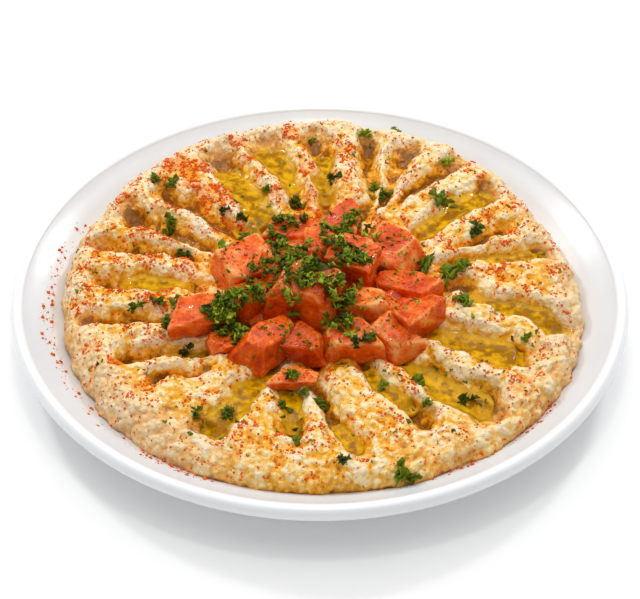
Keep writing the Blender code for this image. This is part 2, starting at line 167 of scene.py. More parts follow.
# Single bits of parsley: x, y, length and yaw (mm and degrees)
LEAVES = (
    (20, 101, 9, 200), (-4, 101, 5, 60), (35, 106, 5, 20), (42, 106, 6, 100), (57, 82, 8, 30),
    (53, 52, 12, 25), (25, 66, 7, 80), (31, 63, 7, 160), (27, 60, 6, 270), (7, 66, 7, 10),
    (-10, 55, 10, 320), (-18, 39, 9, 80), (-23, 60, 6, 200), (-34, 41, 7, 330), (-41, 44, 6, 20),
    (-65, 63, 7, 45), (-73, 66, 7, 110), (-64, 41, 8, 60), (-68, 37, 8, 250), (-42, 21, 10, 95),
    (-38, 16, 7, 300), (-31, 32, 6, 10), (-58, 21, 7, 330), (67, 32, 8, 280), (45, 13, 11, 60),
    (41, 7, 7, 200), (57, 5, 12, 20), (62, 8, 7, 95), (60, -15, 9, 300), (85, -34, 5, 40),
    (16, -44, 8, 30), (20, -42, 7, 120), (39, -59, 8, 75), (43, -70, 7, 200), (59, -65, 9, 20),
    (25, -60, 6, 250), (-14, -72, 7, 340), (0, -67, 8, 15), (-6, -65, 6, 180), (-9, -93, 6, 60),
    (9, -105, 6, 20), (31, -107, 9, 100), (36, -108, 7, 10), (-36, -75, 7, 250), (-49, -77, 6, 120),
    (-54, -38, 7, 60), (-61, -34, 8, 340), (-58, -14, 8, 20), (-67, -15, 7, 160), (-76, -16, 7, 40),
    (-44, -31, 7, 280), (12, 24, 9, 90), (7, 24, 7, 150), (-20, 22, 7, 110), (2, 41, 6, 40),
)

# Patches where charred skin darkens the dip: bearing, radius, height over the table and size (mm)
SKIN_PATCHES = (
    (122, 96, 22, 9), (118, 84, 20, 6), (226, 107, 18, 5), (233, 108, 15, 6), (238, 109, 14, 6),
    (343, 98, 22, 6), (200, 92, 24, 5), (209, 88, 22, 5), (262, 66, 20, 4), (30, 96, 23, 5),
    (292, 104, 17, 5), (214, 104, 16, 4), (12, 76, 21, 5), (248, 90, 24, 4), (315, 106, 16, 4),
)
SKIN_PATCH_MOST, SKIN_HAZE_MOST = 0.75, 0.36

# Grid of the dip, and the steps of its underside from the rim inwards: share of the rim's radius,
# and height over the plate (mm)
DIP_CELLS = 300
UNDERSIDE = ((1.0, -0.15), (0.97, 0.1), (0.92, 0.1), (0.86, 0.1), (0.785, 0.1))
FLANK_STARTS = 0.84    # share of the grid that lies inside the flank

# Lumps that the spoon leaves, broad and grainy ones and two sizes of curds: size, seed, and share
# of the lump height
BROAD_LUMPS, GRAINY_LUMPS = (8 * MM, 3.1, 0.9), (2.2 * MM, 25.3, 0.26)
LARGE_CURDS, SMALL_CURDS = (6.0 * MM, 14.2, 0.75), (3.2 * MM, 5.3, 0.34)
CURD_MIDDLE = 0.6
STREAK_WIDTH, STREAK_LENGTH = 1.6 * MM, 22 * MM

# What makes the spread light or dark: the usual tone, and how much a painted highlight on bumps, painted shade
# in hollows (partly for oil gathered there), patches, and painted light on the flank change it
USUAL_TONE, BUMP_HIGHLIGHT, HOLLOW_SHADE_AND_OIL, PATCH_TONE, FLANK_PAINTED_LIGHT = 0.65, 0.34, 0.085, 0.24, 0.16
BUMP_HEIGHT = 0.4 * MM
BUMP_ROUNDS, HOLLOW_ROUNDS = 6, 90    # evening rounds that show bumps, and hollows
MOST_RAISED, MOST_HOLLOW = -1.2, 2.2    # mm; what is beyond changes the tone no more

# Radii between which the flank takes over, for its lumps, painted lighter tone, oil, paprika and dryness
LUMPY_FLANK, PAINTED_FLANK_LIGHT_RADII, OILY_FLANK = (96 * MM, 106 * MM), (98 * MM, 106 * MM), (97 * MM, 104 * MM)
SPICED_FLANK, DRY_FLANK = (101 * MM, 108 * MM), (92 * MM, 104 * MM)
# Depths of a stroke between which curds thin out, oil gathers and paprika gets scarce
CURD_DEPTHS, OILY_DEPTHS, SPICED_DEPTHS = (4.5 * MM, 9 * MM), (3.0 * MM, 7.5 * MM), (1.5 * MM, 6.5 * MM)
# Patches of tone, oil, paprika and skin: size and seed
TONE_PATCHES, OIL_PATCHES = (13 * MM, 57.0), (9 * MM, 21.0)
SPICE_PATCHES, SKIN_HAZE = (9 * MM, 33.0), (14 * MM, 47.0)

# How much oil has soaked into strokes, patches and the front, and how much less into the flank
STROKE_OIL, PATCH_OIL, FRONT_OIL, FLANK_LOSS = 0.65, 0.50, 0.18, 0.55

# How thickly paprika lies and how dry the dip is: the usual amount, and what is added round a
# bearing, over half a width (degrees)
USUAL_SPICE = 0.36
SPICE_ZONES = ((130, 62, 0.50), (203, 26, 0.30), (262, 26, 0.18), (25, 50, 0.16), (320, 25, 0.14))
USUAL_DRYNESS = 0.22
DRY_ZONES = ((220, 34, 0.3), (0, 45, 0.28), (272, 26, -0.2), (120, 60, 0.1))

# On the flange, smears of spiced oil: bearing, half width, radius, half breadth and amount; and
# grains: bearing, half width, inner and outer radius (degrees and mm)
STAIN_ZONES = ((241, 9, 116.5, 2.2, 0.55), (308, 19, 115, 3.0, 0.5), (226, 12, 112.5, 2.0, 0.45),
               (200, 36, 113, 2.5, 0.3))
GRAIN_ZONES = ((200, 34, 112.5, 119), (241, 9, 114, 119), (308, 18, 113, 117), (185, 30, 113, 117))
DIP_GRAINS, PLATE_GRAINS = 0.88, 0.012    # shares of the grains that fall on each; the tomato gets the rest
COARSE_GRAIN, FINE_GRAIN = (0.5, 1.5), (0.25, 0.6)    # smallest and largest (mm)
COARSE_FOCUS, FINE_FOCUS = 1.6, 1.2    # how strongly grains keep to the spiced zones
PLATE_GRAIN_GROWTH = 1.5

# Dice: how far their sides lean, how many corners are sliced off, how sharp their edges are, and
# how much larger than its solid a die is made, at most and as a share of its side
DIE_LEAN, DIE_SLICES, DIE_SHARPNESS = 0.2, 5, 13
SLICE_REACH = (0.66, 0.9)    # how near the middle a slice comes, as a share of the way to the corner
DIE_WOBBLES = ((6 * MM, 1.2 * MM, 1.7), (2.0 * MM, 0.35 * MM, 2.3))    # size, height and seed step
DIE_CUTS, BIT_CUTS = 17, 4
# How pale a die's flesh is: usually, how much dice differ, what skin adds, and how much paler the edges are
# painted, a painted glow and highlight
USUAL_PALENESS, PALENESS_SPREAD, SKIN_PALENESS, EDGE_PAINTED_GLOW = 0.42, 0.18, -0.4, 0.32
SKIN_CHANCE = 0.6
DIE_MOST_GROWTH, DIE_GROWTH = 3.0 * MM, 0.25
# Small bits of tomato: spacing, ellipse they fill round a middle, and their sizes (mm)
BIT_SPACING, BIT_AREA, BIT_MIDDLE_Y, BIT_SIZES = 5.5, (38, 42), -4, (6.0, 9.5)

# Pools: grid spacing, how far past its solid a pool is sought, how deep its edge dips, over what
# depth its meniscus fades, and the depth at which its colour is near its darkest
POOL_SPACING, POOL_REACH, POOL_BREADTH = 0.55 * MM, 1.45, 1.35
POOL_EDGE_DROP, MENISCUS_FADE, OIL_DARKENING = 3.0 * MM, 1.3 * MM, 1.7 * MM

# Chopped parsley: share of a heap's solid that its core fills, bits for each in CLUSTERS and how far
# forward they lie (mm), and bits in CLUSTERS for each sprig; smallest and largest sizes (mm)
CORE_SHARE, CORE_HEIGHT, BITS_FOR_EACH, BITS_FORWARD, BITS_FOR_A_SPRIG = 0.35, 0.3, 1.6, 2, 14
BIT_OF_LEAF, SPRIG_LENGTH, FLECK_LENGTH = (1.8, 4.0), (4.0, 7.0), (0.8, 2.8)
# Flecks: share in the middle and how far out those lie, and where the others lie (mm)
FLECKS_IN_MIDDLE, MIDDLE_REACH, RING_STARTS, RING_BREADTH = 0.6, 46, 40, 66

SEEDS = {
    "tomato_bits": 51, "chopped_parsley": 11, "heaped_sprigs": 14, "parsley_leaves": 12,
    "parsley_flecks": 13, "paprika_coarse": 31, "paprika_fine": 32,
}

# Lights: setting that holds the power, place, and width and depth (m)
LIGHTS = {
    "overhead": ("overhead", (0, 0.3, 1.5), (2.0, 2.0)),
    "fill": ("fill", (-0.3, -1.5, 1.1), (1.4, 0.9)),
    "key": ("key", (0.0, 0.1, 1.90), (0.2, 0.2)),
    "left_glint": ("glint", (-0.62, 0.66, 0.80), (0.14, 0.14)),
    "right_glint": ("glint", (0.55, 0.75, 0.75), (0.14, 0.14)),
}
CAMERA_DISTANCE, CAMERA_ELEVATION, CAMERA_LENS = 0.845, math.radians(41.64), 111.87
CAMERA_TARGET = Vector((0.2 * MM, 0, 14.94 * MM))


def seen(red, green, blue):
    """A colour as the screen shows it, from 0 to 255, turned into linear values."""
    return tuple(((c / 255 + 0.055) / 1.055) ** 2.4 for c in (red, green, blue))


def colour_setting(name, description, red, green, blue):
    return FloatVectorProperty(name=name, description=description, subtype="COLOR", size=3, min=0, max=1,
                               default=seen(red, green, blue))


def length_setting(name, description, value):
    return FloatProperty(name=name, description=description, unit="LENGTH", subtype="DISTANCE", min=0,
                         default=value, precision=5)


def count_setting(name, description, value):
    return IntProperty(name=name, description=description, min=0, default=value)


def light_setting(name, description, value):
    return FloatProperty(name=name, description=description, min=0, default=value)


class PlateSettings(bpy.types.PropertyGroup):
    # The plate has one white glaze: the flange is painted darker as painted shade, and the lip and outside
    # lighter as painted light
    glaze: colour_setting("Glaze", "Colour of the glazed ceramic", 225, 227, 230)
    lip: colour_setting("Lip", "Colour of the glaze on the lip and the outside", 250, 251, 253)
    stain: colour_setting("Stain", "Colour of the spiced oil smeared on the flange", 214, 106, 34)


class DipSettings(bpy.types.PropertyGroup):
    # Pale to deep follow the tone, which carries a painted highlight on what stands out and painted shade in
    # creases and hollows, as well as oil
    pale: colour_setting("Pale", "Colour of the tops of the lumps", 254, 234, 198)
    cream: colour_setting("Cream", "Colour of the raised parts of the spread", 254, 224, 156)
    tan: colour_setting("Tan", "Usual colour of the spread", 246, 178, 44)
    gold: colour_setting("Gold", "Colour where oil has soaked in", 228, 148, 6)
    deep: colour_setting("Deep", "Colour of oily creases and hollows", 150, 92, 0)
    spice: colour_setting("Spice", "Colour where paprika has bled", 242, 134, 20)
    char: colour_setting("Char", "Colour of the charred skin in the spread", 100, 84, 62)
    dry: colour_setting("Dry", "Colour of the dry flank", 240, 208, 170)
    lump: length_setting("Lump height", "Height of the curds that a spoon leaves", 1.3 * MM)
    streak: length_setting("Streak height", "Height of the fine streaks along each stroke", 0.25 * MM)


class OilSettings(bpy.types.PropertyGroup):
    thin: colour_setting("Thin oil", "Colour where the oil is a thin film", 250, 198, 30)
    deep: colour_setting("Deep oil", "Colour where the oil is deepest", 232, 172, 0)
    murk: colour_setting("Murk", "Colour of what clouds the oil", 160, 108, 0)
    meniscus: length_setting("Meniscus", "How far the oil climbs where it meets the dip", 1.0 * MM)


class TomatoSettings(bpy.types.PropertyGroup):
    flesh: colour_setting("Flesh", "Colour of the cut flesh", 244, 104, 8)
    deep: colour_setting("Deep flesh", "Colour of the riper flesh", 196, 54, 0)
    vein: colour_setting("Vein", "Colour of the pale veins in the flesh", 254, 180, 100)


class ParsleySettings(bpy.types.PropertyGroup):
    fresh: colour_setting("Fresh", "Colour of the light side of a leaf", 200, 212, 60)
    leaf: colour_setting("Leaf", "Usual colour of a leaf", 118, 136, 4)
    deep: colour_setting("Deep", "Colour of the darkest leaves", 48, 60, 0)
    thickness: length_setting("Thickness", "Thickness of a leaf", 0.28 * MM)
    flecks: count_setting("Flecks", "How many tiny flecks lie around", 700)


class PaprikaSettings(bpy.types.PropertyGroup):
    bright: colour_setting("Bright", "Colour of the lighter grains", 255, 126, 14)
    deep: colour_setting("Deep", "Colour of the darker grains", 222, 66, 4)
    coarse: count_setting("Coarse grains", "How many coarse grains are sprinkled", 11000)
    fine: count_setting("Fine grains", "How many fine grains are sprinkled", 20000)


class StageSettings(bpy.types.PropertyGroup):
    floor: colour_setting("Floor", "Colour of the floor", 250, 250, 250)
    glow: light_setting("Glow", "How much the floor glows by itself", 0.08)
    sky: light_setting("Sky", "Strength of the even light from all round", 0.31)
    overhead: light_setting("Overhead", "Power of the wide light above, in watts", 15.5)
    fill: light_setting("Fill", "Power of the wide light in front, in watts", 1.6)
    key: light_setting("Key", "Power of the main light, in watts", 3.0)
    glint: light_setting("Glint", "Power of each small light at the back, in watts", 3.3)


# Node groups and materials

def put(tree, kind, inputs=None, **settings):
    """A new node with its settings and inputs; an input is a value or another node's output."""
    node = tree.nodes.new(kind)
    for name, value in settings.items():
        setattr(node, name, value)
    for name, value in (inputs or {}).items():
        if isinstance(value, bpy.types.NodeSocket):
            tree.links.new(value, node.inputs[name])
        else:
            node.inputs[name].default_value = value
    return node


def node_group(name, inputs, output):
    """An empty node group with named inputs and one named output."""
    group = bpy.data.node_groups.new(name, "ShaderNodeTree")
    for title, kind, value in inputs:
        socket = group.interface.new_socket(title, in_out="INPUT", socket_type=kind)
        socket.default_value = value
    group.interface.new_socket(output[0], in_out="OUTPUT", socket_type=output[1])
    return group


def object_places(tree):
    return put(tree, "ShaderNodeTexCoord").outputs["Object"]


def one_over(tree, value):
    return put(tree, "ShaderNodeMath", {0: 1.0, 1: value}, operation="DIVIDE").outputs[0]


def cloudy(tree, size, detail, roughness):
    """Noise between 0 and 1 with clouds of a size."""
    return put(tree, "ShaderNodeTexNoise", {"Vector": object_places(tree), "Scale": one_over(tree, size),
                                            "Detail": detail, "Roughness": roughness}).outputs["Fac"]


def build_mottle():
    """Two colours in soft clouds of a size."""
    colour, value = "NodeSocketColor", "NodeSocketFloat"
    group = node_group("mottle", (("Light", colour, (1, 1, 1, 1)), ("Dark", colour, (0, 0, 0, 1)),
                                  ("Size", value, 0.005), ("Balance", value, 0.5), ("Softness", value, 0.15)),
                       ("Colour", colour))
    given = group.nodes.new("NodeGroupInput").outputs
    cloud = cloudy(group, given["Size"], 4.0, 0.6)
    low = put(group, "ShaderNodeMath", {0: given["Balance"], 1: given["Softness"]}, operation="SUBTRACT")
    high = plus(group, given["Balance"], given["Softness"])
    share = put(group, "ShaderNodeMapRange", {"Value": cloud, "From Min": low.outputs[0], "From Max": high},
                interpolation_type="SMOOTHSTEP")
    put(group, "NodeGroupOutput",
        {"Colour": mixed(group, share.outputs["Result"], given["Light"], given["Dark"])})
    return group


def build_speckle():
    """A mask of specks of a size that cover a share of the surface."""
    group = node_group("speckle", (("Size", "NodeSocketFloat", 0.001), ("Share", "NodeSocketFloat", 0.3),
                                   ("Softness", "NodeSocketFloat", 0.05)), ("Mask", "NodeSocketFloat"))
    given = group.nodes.new("NodeGroupInput").outputs
    grain = cloudy(group, given["Size"], 2.0, 0.55)
    level = ranged(group, given["Share"], 0.0, 1.0, 0.74, 0.26)    # the noise seldom leaves this range
    high = plus(group, level, given["Softness"])
    mask = put(group, "ShaderNodeMapRange", {"Value": grain, "From Min": level, "From Max": high},
               interpolation_type="SMOOTHSTEP")
    put(group, "NodeGroupOutput", {"Mask": mask.outputs["Result"]})
    return group


def build_relief():
    """Heights of lumps of a size with finer ones on them."""
    group = node_group("relief", (("Size", "NodeSocketFloat", 0.002), ("Detail", "NodeSocketFloat", 3.0)),
                       ("Height", "NodeSocketFloat"))
    given = group.nodes.new("NodeGroupInput").outputs
    put(group, "NodeGroupOutput", {"Height": cloudy(group, given["Size"], given["Detail"], 0.6)})
    return group


def build_curds():
    """Heights of rounded curds of a size, packed with creases between them."""
    group = node_group("curds", (("Size", "NodeSocketFloat", 0.002),), ("Height", "NodeSocketFloat"))
    given = group.nodes.new("NodeGroupInput").outputs
    scale = one_over(group, given["Size"])
    sway = put(group, "ShaderNodeTexNoise", {"Vector": object_places(group), "Scale": scale, "Detail": 2.0})
    swayed = put(group, "ShaderNodeVectorMath", operation="MULTIPLY_ADD",
                 inputs={0: sway.outputs["Color"], 1: given["Size"], 2: object_places(group)})
    cells = put(group, "ShaderNodeTexVoronoi", {"Vector": swayed.outputs["Vector"], "Scale": scale,
                                                "Smoothness": 0.35}, feature="SMOOTH_F1")
    put(group, "NodeGroupOutput", {"Height": ranged(group, cells.outputs["Distance"], 0.75, 0.1)})
    return group


BUILDERS = {"mottle": build_mottle, "speckle": build_speckle, "relief": build_relief, "curds": build_curds}


def effect(tree, name, inputs):
    """A shared node group placed in a material; the output is its only one."""
    group = bpy.data.node_groups.get(name) or BUILDERS[name]()
    return put(tree, "ShaderNodeGroup", inputs, node_tree=group).outputs[0]


def attribute(tree, name):
    return put(tree, "ShaderNodeAttribute", attribute_name=name).outputs["Fac"]


def mixed(tree, share, first, second):
    return put(tree, "ShaderNodeMix", {0: share, 6: first, 7: second}, data_type="RGBA").outputs[2]


def times(tree, first, second):
    return put(tree, "ShaderNodeMath", {0: first, 1: second}, operation="MULTIPLY").outputs[0]


def plus(tree, first, second):
    return put(tree, "ShaderNodeMath", {0: first, 1: second}, operation="ADD").outputs[0]


def ramped(tree, value, stops):
    """A colour read from stops, each a place from 0 to 1 and a colour."""
    ramp = put(tree, "ShaderNodeValToRGB", {"Fac": value})
    while len(ramp.color_ramp.elements) < len(stops):
        ramp.color_ramp.elements.new(1.0)
    for element, (place, colour) in zip(ramp.color_ramp.elements, stops):
        element.position, element.color = place, solid(colour)
    return ramp.outputs["Color"]


def ranged(tree, value, low, high, new_low=0.0, new_high=1.0):
    """A value's range from low to high stretched to a new one, and cut off outside it."""
    return put(tree, "ShaderNodeMapRange", {"Value": value, "From Min": low, "From Max": high,
                                            "To Min": new_low, "To Max": new_high}).outputs["Result"]


def solid(colour):
    return (*colour, 1)


def darker(colour, share):
    return solid([part * share for part in colour])


def new_material(name, **constants):
    """A material and its Principled shader with constant values on named sockets."""
    made = bpy.data.materials.new(name)
    made.use_nodes = True
    shader = made.node_tree.nodes["Principled BSDF"]
    for title, value in constants.items():
        shader.inputs[title.replace("_", " ")].default_value = value
    return made, made.node_tree, shader


def bumped(tree, shader, height, distance, strength=1.0):
    bump = put(tree, "ShaderNodeBump", {"Height": height, "Strength": strength, "Distance": distance})
    tree.links.new(bump.outputs["Normal"], shader.inputs["Normal"])


def glaze_material(settings):
    made, tree, shader = new_material("white_glaze", Roughness=0.3, Coat_Weight=0.2, Coat_Roughness=0.15)
    clean = effect(tree, "mottle", {"Light": solid(settings.glaze), "Dark": darker(settings.glaze, 0.97),
                                    "Size": 0.03})
    # Painted light: the lip and outside take a lighter colour than the painted-shade flange
    clean = mixed(tree, attribute(tree, "lip"), clean, solid(settings.lip))
    smear = effect(tree, "speckle", {"Size": 0.0022, "Share": attribute(tree, "stain"), "Softness": 0.16})
    stained = times(tree, smear, ranged(tree, attribute(tree, "stain"), 0.15, 0.4))
    tree.links.new(mixed(tree, stained, clean, solid(settings.stain)), shader.inputs["Base Color"])
    bumped(tree, shader, effect(tree, "relief", {"Size": 0.02}), 0.05 * MM, 0.4)
    return made


def spread_material(settings):
    made, tree, shader = new_material("aubergine_spread", Subsurface_Weight=0.04, Subsurface_Scale=0.002,
                                      Specular_IOR_Level=0.15, Coat_Roughness=0.08)
    shader.inputs["Subsurface Radius"].default_value = (1.0, 0.55, 0.25)
    links, sockets = tree.links, shader.inputs
    curds = effect(tree, "curds", {"Size": 0.0026})
    fine = effect(tree, "relief", {"Size": 0.0012, "Detail": 2.0})
    cloud = effect(tree, "relief", {"Size": 0.006, "Detail": 3.0})
    oil, spice, char = (attribute(tree, name) for name in ("oil", "spice", "char"))
    # Painted light and shade: raised curds and fine lumps of the bump are painted paler and their creases
    # darker; the clouds vary the tone at random
    tone = plus(tree, attribute(tree, "tone"), ranged(tree, curds, 0.1, 0.9, -0.12, 0.08))
    tone = plus(tree, tone, ranged(tree, cloud, 0.3, 0.7, -0.22, 0.22))
    tone = plus(tree, tone, ranged(tree, fine, 0.3, 0.7, -0.12, 0.08))
    blotch = effect(tree, "speckle", {"Size": 0.0035, "Share": oil, "Softness": 0.22})
    tone = plus(tree, tone, ranged(tree, blotch, 0.0, 1.0, 0.0, -0.26))
    base = ramped(tree, tone, ((0.0, settings.deep), (0.26, settings.gold), (0.52, settings.tan),
                               (0.78, settings.cream), (1.0, settings.pale)))
    base = mixed(tree, attribute(tree, "dry"), base, solid(settings.dry))
    bleed = effect(tree, "speckle", {"Size": 0.0014, "Share": spice, "Softness": 0.16})
    spiced = mixed(tree, times(tree, bleed, 0.6), base, solid(settings.spice))
    burnt = effect(tree, "speckle", {"Size": 0.0025, "Share": char, "Softness": 0.2})
    dusky = mixed(tree, times(tree, burnt, 0.7), spiced, solid(settings.char))
    seeds = effect(tree, "speckle", {"Size": 0.0011, "Share": 0.08, "Softness": 0.05})
    links.new(mixed(tree, times(tree, seeds, 0.5), dusky, solid(settings.char)), sockets["Base Color"])
    links.new(ranged(tree, oil, 0.0, 0.8, 0.42, 0.2), sockets["Roughness"])
    links.new(ranged(tree, oil, 0.1, 0.9, 0.03, 0.26), sockets["Coat Weight"])
    bumped(tree, shader, plus(tree, curds, times(tree, fine, 0.4)), 0.65 * MM, 1.0)
    return made


def oil_material(settings):
    made, tree, shader = new_material("olive_oil", Roughness=0.03, IOR=1.47, Specular_IOR_Level=0.22)
    depth = attribute(tree, "depth")
    cloudy = effect(tree, "relief", {"Size": 0.0036, "Detail": 3.0})
    level = plus(tree, depth, ranged(tree, cloudy, 0.3, 0.7, -0.42, 0.42))
    oily = ramped(tree, level, ((0.05, settings.thin), (0.55, settings.deep), (1.0, settings.murk)))
    crumbs = effect(tree, "speckle", {"Size": 0.0012, "Share": 0.08, "Softness": 0.05})
    oily = mixed(tree, times(tree, crumbs, 0.6), oily, solid(settings.murk))
    tree.links.new(oily, shader.inputs["Base Color"])
    tree.links.new(ranged(tree, depth, 0.0, 0.7, 0.35, 0.92), shader.inputs["Alpha"])
    bumped(tree, shader, effect(tree, "relief", {"Size": 0.004, "Detail": 2.0}), 0.2 * MM, 0.5)
    return made


def tomato_material(settings):
    made, tree, shader = new_material("tomato_flesh", Roughness=0.25, Subsurface_Weight=0.6,
                                      Subsurface_Scale=0.005, Specular_IOR_Level=0.2, Coat_Weight=0.32,
                                      Coat_Roughness=0.03)
    shader.inputs["Subsurface Radius"].default_value = (1.0, 0.35, 0.08)
    cloud = effect(tree, "relief", {"Size": 0.006, "Detail": 3.0})
    grains = effect(tree, "curds", {"Size": 0.0013})
    paleness = plus(tree, attribute(tree, "pale"), ranged(tree, cloud, 0.3, 0.7, -0.34, 0.34))
    # Painted light and shade: the raised grains of the bump are painted paler and their creases darker
    paleness = plus(tree, paleness, ranged(tree, grains, 0.1, 0.9, -0.05, 0.07))
    fleshy = ramped(tree, paleness, ((0.05, settings.deep), (0.5, settings.flesh), (1.0, settings.vein)))
    tree.links.new(fleshy, shader.inputs["Base Color"])
    fine = effect(tree, "relief", {"Size": 0.0016, "Detail": 2.0})
    bumped(tree, shader, plus(tree, grains, times(tree, fine, 2.0)), 0.2 * MM, 0.8)
    return made


def parsley_material(settings):
    made, tree, shader = new_material("parsley_leaf", Roughness=0.45, Specular_IOR_Level=0.2)
    shade = attribute(tree, "shade")
    dark = mixed(tree, ranged(tree, shade, 0.0, 0.55), solid(settings.deep), solid(settings.leaf))
    light = mixed(tree, ranged(tree, shade, 0.55, 1.0), dark, solid(settings.fresh))
    veined = effect(tree, "mottle", {"Light": light, "Dark": darker(settings.leaf, 0.6), "Size": 0.0012,
                                     "Balance": 0.6})
    tree.links.new(veined, shader.inputs["Base Color"])
    bumped(tree, shader, effect(tree, "relief", {"Size": 0.0007}), 0.2 * MM, 0.7)
    return made


def paprika_material(settings):
    made, tree, shader = new_material("paprika", Roughness=0.75, Specular_IOR_Level=0.15)
    grain = mixed(tree, attribute(tree, "shade"), solid(settings.deep), solid(settings.bright))
    tree.links.new(effect(tree, "mottle", {"Light": grain, "Dark": solid(settings.deep), "Size": 0.0006,
                                           "Balance": 0.62}), shader.inputs["Base Color"])
    bumped(tree, shader, effect(tree, "relief", {"Size": 0.0003}), 0.1 * MM, 0.5)
    return made


# Shapes

def smooth_step(x, low, high):
    t = np.clip((x - low) / (high - low), 0, 1)
    return t * t * (3 - 2 * t)


def noise_at(places, size, seed=0.0):
    """Smooth noise between about -0.7 and 0.7 at places given as rows, with lumps of a size."""
    return np.array([noise.noise(place) for place in (places / size + seed).tolist()])


def curds_at(places, size, seed=0.0):
    """Heights from 0 to 1 of rounded curds of a size, packed with creases between them."""
    sway = noise_at(places, size * 1.6, seed)[:, None] * size * np.array([0.8, -0.8, 0.8])
    nearest = np.array([noise.voronoi(place)[0][0] for place in ((places + sway) / size + seed).tolist()])
    return 1 - np.minimum(nearest * 1.25, 1) ** 2


def polar(places):
    """Distance from the Z axis, and bearing in degrees from 0 to 360."""
    return np.hypot(places[:, 0], places[:, 1]), np.degrees(np.arctan2(places[:, 1], places[:, 0])) % 360


def hump(bearing, middle, half):
    """1 at a middle bearing, falling to 0 at half a width to either side of it."""
    off = np.abs((bearing - middle + 180) % 360 - 180) / half
    return np.clip(1 - off ** 2, 0, 1)


def new_piece(name, mesh, finish):
    piece = bpy.data.objects.new(name, mesh)
    bpy.context.scene.collection.objects.link(piece)
    mesh.materials.clear()
    mesh.materials.append(finish)
    mesh.shade_smooth()
    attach(piece, BODY)
    return piece


def face_outwards(shape):
    """Points every face of a closed bmesh outwards."""
    bmesh.ops.recalc_face_normals(shape, faces=shape.faces)
    if shape.calc_volume(signed=True) < 0:
        bmesh.ops.reverse_faces(shape, faces=shape.faces)


def mesh_of(shape, name):
    """The finished mesh of a bmesh, which is freed."""
    mesh = bpy.data.meshes.new(name)
    shape.to_mesh(mesh)
    shape.free()
    return mesh


def places_of(mesh, kind="co"):
    rows = np.empty(len(mesh.vertices) * 3, np.float32)
    mesh.vertices.foreach_get(kind, rows)
    return rows.reshape(-1, 3).astype(float)


def set_places(mesh, places):
    mesh.vertices.foreach_set("co", places.astype(np.float32).ravel())
    mesh.update()


def set_attribute(mesh, name, values):
    layer = mesh.attributes.new(name, "FLOAT", "POINT")
    layer.data.foreach_set("value", values.astype(np.float32))


def read_attribute(mesh, name):
    values = np.empty(len(mesh.vertices), np.float32)
    mesh.attributes[name].data.foreach_get("value", values)
    return values.astype(float)


def arc(centre_r, centre_z, radius, start, end, steps):
    """Points on an arc, from one angle in degrees to another."""
    angles = [math.radians(start + (end - start) * i / steps) for i in range(steps + 1)]
    return [(centre_r + radius * math.cos(a), centre_z + radius * math.sin(a)) for a in angles]


# Plate

BEND_END_R = WELL_RADIUS + FLANGE_BEND * math.sin(FLANGE_SLOPE)
BEND_END_Z = WELL_TOP + FLANGE_BEND * (1 - math.cos(FLANGE_SLOPE))
LIP_R, LIP_Z = PLATE_RADIUS - LIP_RADIUS, PLATE_HEIGHT - LIP_RADIUS


def plate_top(radius):
    """Height of the plate's upper surface, up to the lip, at radii given as an array."""
    on_bend = np.clip(radius - WELL_RADIUS, 0, BEND_END_R - WELL_RADIUS)
    bend = WELL_TOP + FLANGE_BEND - np.sqrt(FLANGE_BEND ** 2 - on_bend ** 2)
    return bend + np.maximum(radius - BEND_END_R, 0) * math.tan(FLANGE_SLOPE)


def plate_profile():
    """Radii and heights of half a section of the plate, from the middle of its well round to its underside."""
    slope = math.degrees(FLANGE_SLOPE)
    well_bottom = WELL_TOP - WALL
    under_bend = FLANGE_BEND + WALL
    profile = [(WELL_RADIUS * ring / WELL_RINGS, WELL_TOP) for ring in range(WELL_RINGS)]
    profile += arc(WELL_RADIUS, WELL_TOP + FLANGE_BEND, FLANGE_BEND, -90, slope - 90, BEND_STEPS)
    profile += [(BEND_END_R + out, BEND_END_Z + out * math.tan(FLANGE_SLOPE)) for out in (5 * MM, 10 * MM)]
    profile += arc(LIP_R, LIP_Z, LIP_RADIUS, 180 - slope, slope - 90, LIP_STEPS)
    profile += arc(WELL_RADIUS, WELL_TOP + FLANGE_BEND, under_bend, slope - 90, -90, UNDER_STEPS)
    profile += [(FOOT_OUTER + FOOT_FLARE, well_bottom)]
    profile += arc(FOOT_OUTER - FOOT_ROUND, FOOT_ROUND, FOOT_ROUND, -20, -90, FOOT_STEPS)
    profile += arc(FOOT_INNER + FOOT_ROUND, FOOT_ROUND, FOOT_ROUND, -90, -160, FOOT_STEPS)
    profile += [(FOOT_INNER - FOOT_FLARE, well_bottom), (0, well_bottom)]
    return profile


def plate_stain(places):
    """How thickly spiced oil is smeared on the plate's flange."""
    radius, bearing = polar(places)
    stain = np.zeros(len(places))
    for middle, half, ring, breadth, amount in STAIN_ZONES:
        away = np.abs(radius / MM - ring) / breadth
        stain = np.maximum(stain, amount * hump(bearing, middle, half) * np.clip(1 - away ** 2, 0, 1))
    return stain * (places[:, 2] > WELL_TOP - MM)


